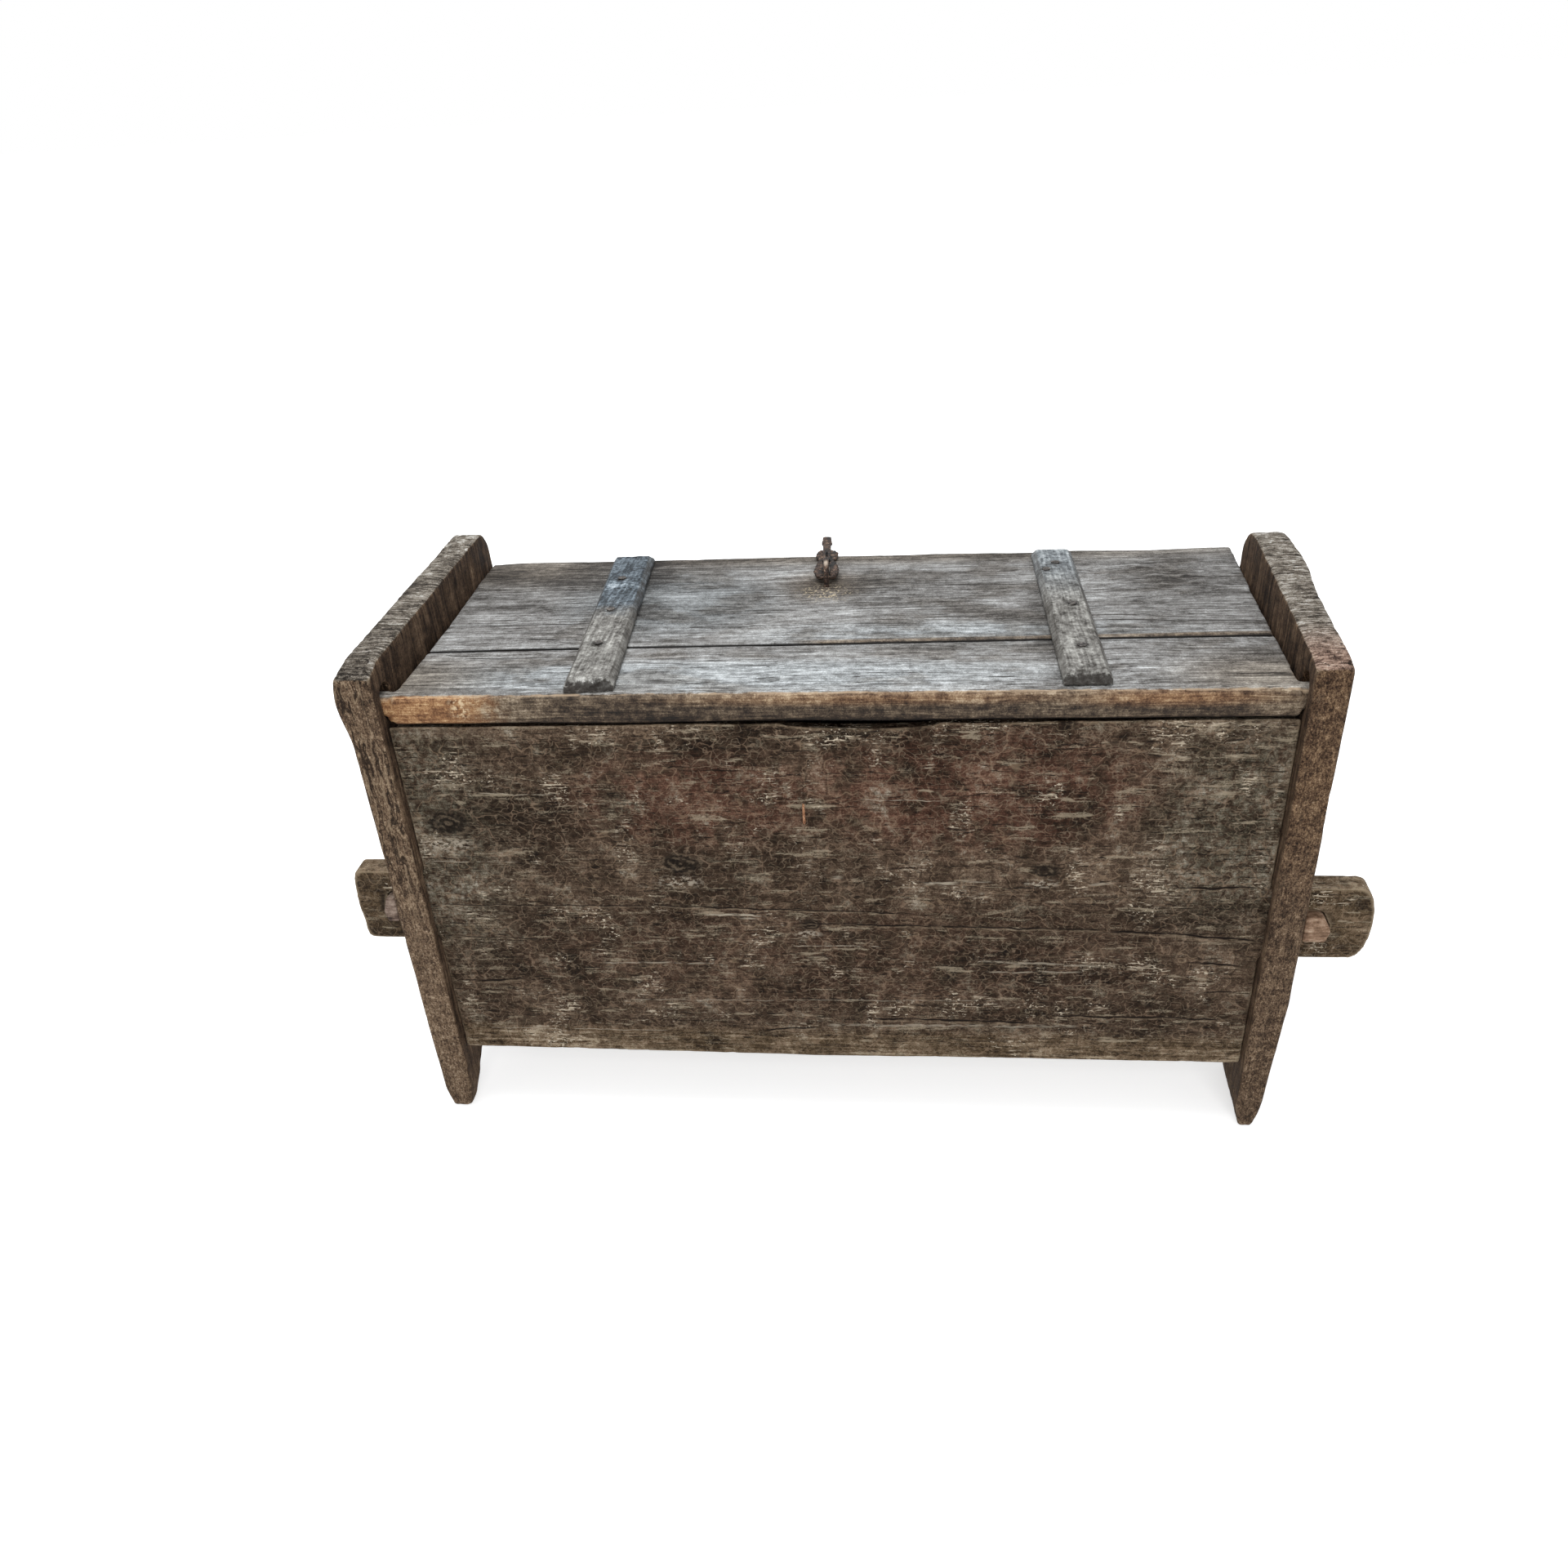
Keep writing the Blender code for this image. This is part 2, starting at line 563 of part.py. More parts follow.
def rear_lid_plank():
    """The narrow lid plank at the hinge side, with a round pintle at each end."""
    seam = LID_SEAM_Y - LID_SEAM_GAP / 2
    low_centre = (LID_REAR_Y + NOSE_LOW_R, LID_UNDER_Z + NOSE_LOW_R)
    top_centre = (LID_REAR_Y + NOSE_TOP_R, LID_TOP_Z - NOSE_TOP_R)
    profile = arc(top_centre, (NOSE_TOP_R, NOSE_TOP_R), 90, 180, ARC_STEPS)
    profile += arc(low_centre, (NOSE_LOW_R, NOSE_LOW_R), 180, 270, ARC_STEPS)
    profile += [(seam, LID_UNDER_Z), (seam, LID_TOP_Z)]
    left, right = -HALF + LID_LEFT_GAP, HALF - LID_RIGHT_GAP
    mesh = plate(profile, right - left, (left + right) / 2, ACROSS_X)
    for vert in mesh.vertices:
        if vert.co.y > seam - WELD:
            vert.co.y += LID_SEAM_SLOPE_SHARE * vert.co.x
    plank = piece("lid_plank_rear", mesh, LID_WOOD, LID_AXIS)
    for label, start, end in (("left", left + OVERRUN, -HALF - PINTLE_LENGTH),
                              ("right", right - OVERRUN, HALF + PINTLE_LENGTH)):
        pintle = cylinder((start, AXIS_Y, AXIS_Z), (end, AXIS_Y, AXIS_Z), PINTLE_R, ROUND_SIDES * 2)
        combine(plank, cutter(f"pintle_{label}", pintle), "UNION")
    return plank


def front_lid_plank():
    """The wide lid plank that overhangs the front, with one broken corner."""
    seam = LID_SEAM_Y + LID_SEAM_GAP / 2
    left, right = -HALF + LID_LEFT_GAP, HALF - LID_RIGHT_GAP
    outline = [(left, seam + LID_SEAM_SLOPE_SHARE * left), (right, seam + LID_SEAM_SLOPE_SHARE * right),
               (right, LID_FAR_Y - CHIP_DEPTH), (right - CHIP_LENGTH, LID_FAR_Y), (left, LID_FAR_Y)]
    mesh = plate(outline, LID_T, LID_UNDER_Z + LID_T / 2, ACROSS_Z)
    return piece("lid_plank_front", mesh, LID_WOOD, LID_AXIS)


def lid_place(share):
    """A place on the lid's top face, from shares of the half length and of the lid's depth."""
    return Vector((HALF * share[0], LID_REAR_Y + (LID_FAR_Y - LID_REAR_Y) * share[1], LID_TOP_Z))


def batten(name, ends, width):
    """A chamfered strip across both lid planks, with sloping ends."""
    rear, far = lid_place(ends[0]), lid_place(ends[1])
    length = (far - rear).length
    half = width / 2
    profile = [(-half, 0.0), (half, 0.0), (half, BATTEN_SIDE_H), (half - BATTEN_CHAMFER, BATTEN_T),
               (BATTEN_CHAMFER - half, BATTEN_T), (-half, BATTEN_SIDE_H)]
    mesh = plate(profile, length, 0.0, ACROSS_Y)
    for vert in mesh.vertices:
        slope = BATTEN_END_SLOPE * vert.co.z / BATTEN_T
        vert.co.y += slope if vert.co.y < 0.0 else -slope
    turn = Vector((0.0, 1.0, 0.0)).rotation_difference(far - rear).to_matrix().to_4x4()
    middle = (rear + far) / 2 + Vector((0.0, 0.0, GAP))
    mesh.transform(Matrix.Translation(middle) @ turn)
    return piece(name, mesh, BATTEN_WOOD, LID_AXIS, splayed=False)


def nail_place(ends, width, share):
    """Where a nail goes through its batten, from shares along it and across its half width."""
    rear, far = lid_place(ends[0]), lid_place(ends[1])
    along = (far - rear).normalized()
    return (rear.lerp(far, share[0]) + Vector((along.y, -along.x, 0.0)) * width / 2 * share[1]).xy


def batten_nail(name, place, strip, planks):
    """A forged nail down through a batten into the plank below."""
    seat = LID_TOP_Z + GAP + BATTEN_T + GAP
    foot = LID_TOP_Z - NAIL_BITE
    head = cylinder((*place, seat), (*place, seat + NAIL_HEAD_T), NAIL_HEAD_R, NAIL_SIDES)
    shank = cylinder((*place, foot), (*place, seat + NAIL_HEAD_T / 2), NAIL_SHANK_R, NAIL_SIDES)
    hole = cylinder((*place, foot - GAP), (*place, seat + OVERRUN), NAIL_SHANK_R + GAP, NAIL_SIDES)
    nail = piece(name, head, IRON, LID_AXIS, splayed=False)
    combine(nail, cutter(f"{name}_shank", shank, splayed=False), "UNION")
    bore = cutter(f"{name}_hole", hole, splayed=False)
    combine(strip, bore)
    seam_here = LID_SEAM_Y + LID_SEAM_SLOPE_SHARE * place[0]
    combine(planks[0] if place[1] < seam_here else planks[1], bore)


def staple_path():
    """Legs and bow of the staple, from its rear leg to its front leg."""
    foot = LID_TOP_Z - STAPLE_BITE - HASP_AXIS_Z
    spring = LID_TOP_Z + STAPLE_RISE - STAPLE_SPAN / 2 - HASP_AXIS_Z
    centre = STAPLE_SPAN / 2 - STAPLE_BACK
    bow = arc((centre, spring), (STAPLE_SPAN / 2, STAPLE_SPAN / 2), 180, 0, ARC_STEPS)
    return [(0.0, -STAPLE_BACK, foot)] + [(0.0, y, z) for y, z in bow] + [(0.0, bow[-1][0], foot)]


def staple(plank):
    """The forged staple on the lid that the hasp turns in."""
    path = staple_path()
    piece("hasp_staple", tube(path, STAPLE_R, place=turned_iron()), IRON, LID_AXIS, splayed=False)
    for label, leg in (("rear", path[0]), ("front", path[-1])):
        start = turned_iron() @ Vector((leg[0], leg[1], leg[2] - GAP))
        end = Vector((start.x, start.y, LID_TOP_Z + OVERRUN))
        hole = cylinder(start, end, STAPLE_R + GAP, ROUND_SIDES)
        combine(plank, cutter(f"staple_{label}_hole", hole, splayed=False))


def hasp_path():
    """The long loop of rod: a bar in the staple, a pinched waist, and back."""
    waist = HASP_ROD_R + GAP
    end = HASP_LENGTH - HASP_TAB_LENGTH / 2
    side = []
    for width_share, length_share in zip(LOOP_WIDTH_SHARES, LOOP_LENGTH_SHARES):
        side.append((max(HASP_LOOP_HALF * width_share, waist if width_share else 0.0),
                     HASP_LOOP_LENGTH * length_share, 0.0))
    side += [(waist, HASP_LOOP_LENGTH, 0.0), (waist, end, 0.0)]
    return side + [(-x, y, z) for x, y, z in reversed(side[1:])]


def hasp():
    """The hasp lies on the lid and reaches past its front edge."""
    ring_z = -HASP_ROD_R - RING_ROD_R + RING_BITE
    ring = [(x, y, ring_z) for x, y in arc((0.0, RING_CENTRE), (RING_HALF_WIDTH, RING_HALF_LENGTH),
                                           0, 360, ARCH_STEPS)[:-1]]
    rod = tube(smooth(hasp_path(), SMOOTH_STEPS), HASP_ROD_R, True, turned_iron())
    link = piece("hasp", rod, IRON, HASP_AXIS, splayed=False)
    loop = cutter("hasp_ring", tube(ring, RING_ROD_R, True, turned_iron()), splayed=False)
    combine(link, loop, "UNION")
    tab = box((-HASP_TAB_W / 2, HASP_LENGTH - HASP_TAB_LENGTH, -HASP_TAB_T / 2),
              (HASP_TAB_W / 2, HASP_LENGTH, HASP_TAB_T / 2))
    tab.transform(turned_iron())
    combine(link, cutter("hasp_tab", tab, splayed=False), "UNION")


def lid():
    """Planks, battens, nails and the iron, all hung from the lid's axis."""
    planks = (rear_lid_plank(), front_lid_plank())
    for side, ends, width, nails in (("left", LEFT_BATTEN_SHARES, LEFT_BATTEN_W, LEFT_NAIL_SHARES),
                                     ("right", RIGHT_BATTEN_SHARES, RIGHT_BATTEN_W, RIGHT_NAIL_SHARES)):
        strip = batten(f"lid_batten_{side}", ends, width)
        for index, share in enumerate(nails):
            place = nail_place(ends, width, share)
            batten_nail(f"batten_nail_{side}_{index + 1}", place, strip, planks)
    staple(planks[1])
    hasp()


case()
lid()
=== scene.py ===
"""Looks of the storage chest: hewn and weathered planks, rusted iron, soft light on a pale floor."""
import json
from itertools import product

import bmesh
import bpy
import numpy as np
from mathutils import Matrix, Vector

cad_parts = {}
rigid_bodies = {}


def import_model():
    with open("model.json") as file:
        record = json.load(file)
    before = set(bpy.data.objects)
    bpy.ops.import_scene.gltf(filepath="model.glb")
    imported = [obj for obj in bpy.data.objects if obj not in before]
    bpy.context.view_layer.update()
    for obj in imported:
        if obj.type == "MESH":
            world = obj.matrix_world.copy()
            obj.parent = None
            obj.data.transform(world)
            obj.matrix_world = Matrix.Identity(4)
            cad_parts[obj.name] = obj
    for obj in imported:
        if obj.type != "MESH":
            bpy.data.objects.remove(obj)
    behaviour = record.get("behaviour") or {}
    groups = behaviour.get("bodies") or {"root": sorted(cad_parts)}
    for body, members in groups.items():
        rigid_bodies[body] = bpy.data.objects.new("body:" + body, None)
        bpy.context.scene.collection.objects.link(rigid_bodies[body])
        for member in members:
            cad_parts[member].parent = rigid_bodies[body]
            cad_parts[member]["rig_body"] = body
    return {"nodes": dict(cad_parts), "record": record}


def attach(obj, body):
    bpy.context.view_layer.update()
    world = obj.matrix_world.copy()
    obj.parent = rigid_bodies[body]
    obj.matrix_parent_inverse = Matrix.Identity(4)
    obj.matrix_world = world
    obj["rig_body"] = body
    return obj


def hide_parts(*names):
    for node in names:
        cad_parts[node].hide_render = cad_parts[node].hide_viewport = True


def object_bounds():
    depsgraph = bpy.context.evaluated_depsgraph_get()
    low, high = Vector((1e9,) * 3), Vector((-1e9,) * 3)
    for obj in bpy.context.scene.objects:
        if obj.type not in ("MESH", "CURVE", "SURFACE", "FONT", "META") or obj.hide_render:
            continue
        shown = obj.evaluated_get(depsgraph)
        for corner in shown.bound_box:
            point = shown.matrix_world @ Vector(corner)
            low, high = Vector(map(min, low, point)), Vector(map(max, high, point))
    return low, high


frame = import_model()
CAD_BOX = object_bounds()

# Where the chest's own measuring point lies: middle of the length, rear panel's outer face, floor
ORIGIN = np.array((-0.0214376, -0.2347567, 0.0))
COARSE = 1.0
LID_TOP = 0.6124
# The seam between the lid's planks: its y at the middle, and how much that grows for each metre along x
SEAM_Y, SEAM_SLOPE = 0.136, 0.014
# Where the rear panel's upper part begins to follow its own crest, and where its inner arris is worn down
CREST_LOW, CREST_HIGH, CREST_INNER = 0.545, 0.572, 0.560
# What a shape gives where it has no cells and moves nothing sideways
NO_BORDER, NO_SHIFT = 0.5, 0.0
# How far every vertex stays inside the solids' common box
INSET = 0.00002
# The hasp's turning axis, and how far it leans sideways for each metre of its length
HASP_X, HASP_Y, HASP_SKEW = -0.0186, 0.3307, 0.0524


# Noise for shapes

def gradient_noise(place, seed):
    """Smooth noise, about -1 to 1, at an array of places."""
    rng = np.random.default_rng(seed)
    order = rng.permutation(256)
    slopes = rng.normal(size=(256, 3))
    slopes /= np.linalg.norm(slopes, axis=1, keepdims=True)
    cell = np.floor(place).astype(np.int64)
    part = place - cell
    ease = part ** 3 * (part * (part * 6 - 15) + 10)
    total = np.zeros(len(place))
    for corner in product((0, 1), repeat=3):
        step = np.array(corner)
        index = order[(cell[:, 0] + step[0]) & 255]
        index = order[(index + cell[:, 1] + step[1]) & 255]
        index = order[(index + cell[:, 2] + step[2]) & 255]
        weight = np.prod(np.where(step, ease, 1 - ease), axis=1)
        total += weight * np.einsum("ij,ij->i", part - step, slopes[index])
    return total * 1.6


def layered(place, seed, octaves=3):
    """Several sizes of noise together."""
    total = np.zeros(len(place))
    for octave in range(octaves):
        total += gradient_noise(place * 2 ** octave, seed + octave) * 0.5 ** octave
    return total


def borders(across, up, seed):
    """Distance to the border of scattered cells: 0 on a border, about 0.5 in a cell's middle."""
    rng = np.random.default_rng(seed)
    order = rng.permutation(256)
    jitter = rng.random((256, 2))
    place = np.stack((across, up), axis=1)
    cell = np.floor(place).astype(np.int64)
    nearest = np.full((2, len(place)), 9.0)
    for step in product((-1, 0, 1), repeat=2):
        here = cell + np.array(step)
        index = order[(order[here[:, 0] & 255] + here[:, 1]) & 255]
        reach = np.linalg.norm(here + jitter[index] - place, axis=1)
        nearest[1] = np.minimum(nearest[1], np.maximum(nearest[0], reach))
        nearest[0] = np.minimum(nearest[0], reach)
    return (nearest[1] - nearest[0]) / 2


def rise(value, low, high):
    """0 below low, 1 above high, smooth between."""
    share = np.clip((value - low) / (high - low), 0.0, 1.0)
    return share * share * (3 - 2 * share)


def near(place, centre, reach):
    """1 at the centre of a soft ellipsoid, 0 outside it."""
    away = np.linalg.norm((place - np.array(centre)) / np.array(reach), axis=1)
    return 1 - rise(away, 0.0, 1.0)


# Dense meshes made from the solids

def added(name, data):
    """A new object in the scene."""
    obj = bpy.data.objects.new(name, data)
    bpy.context.scene.collection.objects.link(obj)
    return obj


def applied(obj):
    """The object's mesh with its modifiers worked in; they are then removed."""
    graph = bpy.context.evaluated_depsgraph_get()
    mesh = bpy.data.meshes.new_from_object(obj.evaluated_get(graph))
    obj.modifiers.clear()
    obj.data = mesh
    mesh.name = obj.name
    return mesh


def dense(node, voxel, stretch):
    """A fine even mesh of a solid, its cells longer along the grain."""
    mesh = frame["nodes"][node].data.copy()
    mesh.materials.clear()
    bm = bmesh.new()
    bm.from_mesh(mesh)
    bmesh.ops.remove_doubles(bm, verts=bm.verts, dist=1e-6)
    bm.to_mesh(mesh)
    bm.free()
    scale = Matrix.Diagonal((1 / stretch[0], 1 / stretch[1], 1 / stretch[2], 1.0))
    mesh.transform(scale)
    obj = added(f"worn_{node}", mesh)
    remesh = obj.modifiers.new("even", "REMESH")
    remesh.mode = "VOXEL"
    remesh.voxel_size = voxel * COARSE
    fine = applied(obj)
    fine.transform(scale.inverted())
    fine.shade_smooth()
    return obj


def places(mesh):
    """Vertex places as an array."""
    co = np.empty(len(mesh.vertices) * 3)
    mesh.vertices.foreach_get("co", co)
    return co.reshape(-1, 3)


def normals(mesh):
    """Vertex normals as an array."""
    no = np.empty(len(mesh.vertices) * 3)
    mesh.vertex_normals.foreach_get("vector", no)
    return no.reshape(-1, 3)


def move(mesh, co):
    """Put the vertices there."""
    mesh.vertices.foreach_set("co", co.astype(np.float32).ravel())
    mesh.update()


def relaxed(mesh, co, rounds):
    """Places after each vertex is drawn towards its neighbours a number of times."""
    pairs = np.empty(len(mesh.edges) * 2, np.int32)
    mesh.edges.foreach_get("vertices", pairs)
    first, second = pairs.reshape(-1, 2).T
    count = len(co)
    links = np.bincount(first, minlength=count) + np.bincount(second, minlength=count)
    for _ in range(rounds):
        middle = np.empty_like(co)
        for axis in range(3):
            middle[:, axis] = np.bincount(first, co[second, axis], count)
            middle[:, axis] += np.bincount(second, co[first, axis], count)
        co = co + (middle / links[:, None] - co) * 0.5
    return co


def attribute(mesh, name, values):
    """Keep a number per vertex for the material."""
    layer = mesh.attributes.new(name, "FLOAT", "POINT")
    layer.data.foreach_set("value", values.astype(np.float32))


def thinned(obj, share):
    """Fewer faces where the surface is plain."""
    if share >= 1.0:
        return
    thin = obj.modifiers.new("thin", "DECIMATE")
    thin.ratio = share
    applied(obj)


def worn(node, voxel, stretch, wear, shape, soften=2):
    """A node's dense mesh with worn corners and its own hollows; keeps how sharp each place was."""
    obj = dense(node, voxel, stretch)
    mesh = obj.data
    rounds = max(1, round(soften / COARSE))
    co = relaxed(mesh, places(mesh), rounds)
    move(mesh, co)
    no = normals(mesh)
    smooth_co = relaxed(mesh, co, round(26 / COARSE))
    edge = np.einsum("ij,ij->i", co - smooth_co, no) / 0.003
    own = co - ORIGIN
    chips = np.clip(layered(own * 38.0, 9, 3) - 0.25, 0.0, 0.7) * 2.2
    bite = wear * np.clip(edge, 0.0, 1.0) * (0.45 + 0.55 * layered(own * 22.0, 7, 3) + chips)
    co -= no * np.clip(bite, 0.0, None)[:, None]
    depth, border, shift = shape(own, no, edge)
    co -= no * depth[:, None]
    co += shift
    low, high = np.array(CAD_BOX)
    co = np.clip(co, low + (INSET, INSET, 0.0), high - INSET)
    move(mesh, co)
    attribute(mesh, "edge", np.clip(edge, -1.5, 1.5))
    attribute(mesh, "border", np.broadcast_to(border, len(co)))
    return obj


# Shapes of the pieces: each gives how deep to cut each vertex, in metres, a border number and a shift

def lumps(own, scale, seed, octaves, height):
    """Scattered hollows of a depth up to height."""
    return np.clip(layered(own * scale, seed, octaves), 0, 1) * height


def grain(own, axis, depth, fine=230, seed=3):
    """Raised grain: long shallow grooves along one axis."""
    scale = np.full(3, fine)
    scale[axis] = 7
    wave = own.copy()
    bend = gradient_noise(own * 5, seed + 11) * 0.006
    for other in range(3):
        if other != axis:
            wave[:, other] += bend
    coarse = scale.copy() * 0.33
    coarse[axis] = 3
    line = gradient_noise(wave * scale, seed) * 0.6 + gradient_noise(wave * coarse, seed + 1)
    return np.clip(line, 0, 1) * depth


def groove(own, start, end, width, depth, seed=1):
    """A crack in a face across Y, between two (x, z) places."""
    start, end = np.array(start), np.array(end)
    flat = own[:, (0, 2)]
    run = end - start
    share = np.clip(((flat - start) @ run) / (run @ run), 0, 1)
    wander = gradient_noise(own * (30, 0, 0) + seed * 7.7, seed) * 0.0012
    away = np.abs(flat[:, 1] - (start[1] + run[1] * share) - wander)
    inside = (flat[:, 0] > start[0]) & (flat[:, 0] < end[0])
    thin = width * np.sin(np.pi * share) ** 0.5
    return depth * inside * (1 - rise(away, 0, np.maximum(thin, 1e-5) * 2.2))


# Cracks: start, end as (x, z) on the rear panel's outer face, half width, depth
REAR_CRACKS = (
    ((-0.495, 0.3275), (-0.225, 0.3285), 0.0006, 0.0012),
    ((-0.225, 0.3285), (0.080, 0.3205), 0.0007, 0.0015),
    ((-0.050, 0.3040), (0.320, 0.2985), 0.0009, 0.0018),
    ((0.320, 0.2985), (0.495, 0.2860), 0.0012, 0.0022),
    ((0.385, 0.3590), (0.490, 0.3620), 0.0010, 0.0016),
    ((0.425, 0.2530), (0.485, 0.2460), 0.0012, 0.0018),
    ((-0.480, 0.2790), (-0.370, 0.2760), 0.0007, 0.0012),
    ((-0.470, 0.2060), (-0.395, 0.2120), 0.0011, 0.0016),
    ((-0.470, 0.1580), (-0.440, 0.1560), 0.0010, 0.0012),
    ((0.025, 0.1560), (0.240, 0.1530), 0.0012, 0.0018),
    ((0.260, 0.1650), (0.470, 0.1640), 0.0009, 0.0014),
    ((-0.105, 0.1330), (-0.020, 0.1400), 0.0010, 0.0012),
)
# Pale scratches and torn fibres: start, end, half width, strength
REAR_MARKS = (
    ((-0.166, 0.3160), (-0.084, 0.3165), 0.0020, 0.85), ((-0.120, 0.3110), (-0.088, 0.3115), 0.0018, 0.7),
    ((-0.006, 0.3715), (0.014, 0.3725), 0.0036, 0.8), ((-0.493, 0.3913), (-0.376, 0.3920), 0.0008, 0.7),
    ((-0.414, 0.4883), (-0.316, 0.4859), 0.0010, 0.6), ((-0.274, 0.1803), (0.200, 0.1880), 0.0007, 0.55),
    ((-0.490, 0.1286), (-0.220, 0.1290), 0.0007, 0.6), ((0.100, 0.3640), (0.150, 0.3660), 0.0030, 0.75),
    ((0.145, 0.3680), (0.190, 0.3665), 0.0022, 0.6), ((-0.060, 0.2700), (0.060, 0.2705), 0.0009, 0.75),
    ((-0.300, 0.2400), (-0.150, 0.2410), 0.0016, 0.5), ((0.170, 0.2500), (0.330, 0.2440), 0.0022, 0.5),
    ((0.180, 0.2330), (0.300, 0.2350), 0.0016, 0.5), ((0.290, 0.3620), (0.330, 0.3690), 0.0026, 0.5),
    ((-0.020, 0.1440), (0.300, 0.1480), 0.0028, 0.45), ((0.030, 0.4800), (0.130, 0.4770), 0.0008, 0.6),
)
KNOTS = (
    (-0.456, 0.4465, 0.020), (-0.181, 0.390, 0.017), (-0.0295, 0.303, 0.010), (0.245, 0.383, 0.012),
)


def hewn(own, no, seed, grain_seed, swell_seed):
    """Shallow scallops of the adze on a panel's two faces."""
    x, _, z = own.T
    face = rise(np.abs(no[:, 1]), 0.75, 0.95)
    bend = layered(own * (9, 3, 9), seed + 5, 2)
    border = borders(x / 0.056 + bend * 0.35, z / 0.040 + bend * 0.45, seed)
    border = np.minimum(border, 0.02 + borders(x / 0.085 + 7.7, z / 0.085, seed + 1) * 1.6)
    scallop = rise(border, 0, 0.45)
    swell = 0.5 + 0.5 * layered(own * (4, 4, 9), swell_seed, 2)
    return border, scallop * 0.0009 * face + grain(own, 0, 0.00042, seed=grain_seed) + swell * 0.0009 * face


def rear_panel(own, no, edge):
    """The photographed side: scallops, long cracks, knots, a pale worn arris along the top."""
    x, y, z = own.T
    border, depth = hewn(own, no, 21, 3, 31)
    outer = rise(-no[:, 1], 0.75, 0.95)
    for index, (start, end, width, bite) in enumerate(REAR_CRACKS):
        depth += groove(own, start, end, width, bite, index) * outer
    for knot_x, knot_z, reach in KNOTS:
        away = np.hypot((x - knot_x) / 1.5, z - knot_z) / reach
        rings = np.sin(away * 9 + gradient_noise(own * 90, 8)) * 0.0004 * (1 - rise(away, 0.6, 1.3))
        depth += outer * (0.0016 * (1 - rise(away, 0.2, 1.2)) + rings)
    ends = rise(np.abs(x), 0.500, 0.505)
    depth *= 1 - ends * 0.6
    low = rise(-z, -0.100, -0.095)
    shift = np.zeros_like(own)
    # The bottom edge sags, the top edge has its own line, the left tenon's end is longer
    sag = np.interp(x, (-0.47, -0.25, 0, 0.18, 0.45), (0, 0.0022, 0.0045, 0.0024, 0.0018))
    shift[:, 2] = low * (0.0008 * gradient_noise(own * (12, 0, 0), 17) - sag) * (1 - ends)
    high = rise(z, CREST_LOW, CREST_HIGH)
    crest = np.interp(x, (-0.50, -0.25, -0.06, 0, 0.10, 0.16, 0.24, 0.48),
                      (-0.0018, -0.0008, 0, 0.0004, -0.0002, -0.0012, -0.0002, 0.0008))
    wander = 0.0007 * layered(own * (9, 0, 0), 19, 3)
    shift[:, 2] += high * (crest + wander)
    shift[:, 2] -= rise(z, CREST_INNER, CREST_HIGH) * rise(y, 0.003, 0.009) * 0.0075
    foot = near(own, (-0.594, 0.016, 0.272), (0.030, 0.10, 0.030))
    shift[:, 0] -= foot * 0.0050
    shift[:, 2] -= rise(-x, 0.525, 0.535) * rise(-z, -0.300, -0.275) * 0.0035
    return depth, border, shift


def front_panel(own, no, edge):
    """The other long side, hewn the same way."""
    border, depth = hewn(own, no, 57, 41, 61)
    return depth, border, NO_SHIFT


def end_board(own, no, edge):
    """Upright grain, worm runs and pits, lumpy outer arrises."""
    x, y, z = own.T
    depth = grain(own, 2, 0.0006, 260, 71)
    pits = layered(own * (150, 150, 95), 81, 2)
    narrow = rise(np.abs(no[:, 1]) + np.abs(no[:, 2]) * 0.8, 0.5, 0.9)
    depth += narrow * np.clip(pits - 0.25, 0, 0.6) * 0.0014
    knobs = layered(own * (16, 14, 14), 91, 3)
    depth += np.clip(edge, 0, 1) * np.clip(knobs + 0.1, 0, 1) * 0.0014
    depth += lumps(own, (11, 11, 7), 95, 3, 0.0012)
    top = rise(no[:, 2], 0.6, 0.9) * rise(z, 0.60, 0.62)
    cross = gradient_noise(own * (25, 190, 0), 97)
    depth += top * np.clip(cross, 0, 1) * 0.0014
    tenons = np.exp(-((z - 0.3193) / 0.075) ** 4)
    depth *= 1 - 0.4 * tenons
    shift = np.zeros_like(own)
    # The left board's near corner leans out, its far top droops; both far edges lie further back
    corner = near(own, (-0.545, -0.016, 0.612), (0.030, 0.05, 0.060))
    shift[:, 0] -= corner * 0.0095
    left, right, high = x < 0, x > 0, rise(z, 0.50, 0.60)
    end = rise(y, 0.375, 0.428) * rise(z, 0.625, 0.665) * left
    shift[:, 2] -= end ** 2 * 0.0070
    shift[:, 1] += left * high * rise(y, 0.38, 0.42) * 0.0050
    shift[:, 0] -= near(own, (-0.565, 0.29, 0.665), (0.030, 0.11, 0.060)) * rise(-x, 0.540, 0.558) * 0.0050
    back = right * high * rise(y, 0.29, 0.35)
    shift[:, 1] += back * 0.0170
    shift[:, 2] -= back * rise(z, 0.62, 0.66) * 0.0045
    shift[:, 0] += near(own, (0.555, 0.24, 0.665), (0.030, 0.10, 0.060)) * rise(x, 0.530, 0.548) * 0.0050
    return depth, NO_BORDER, shift


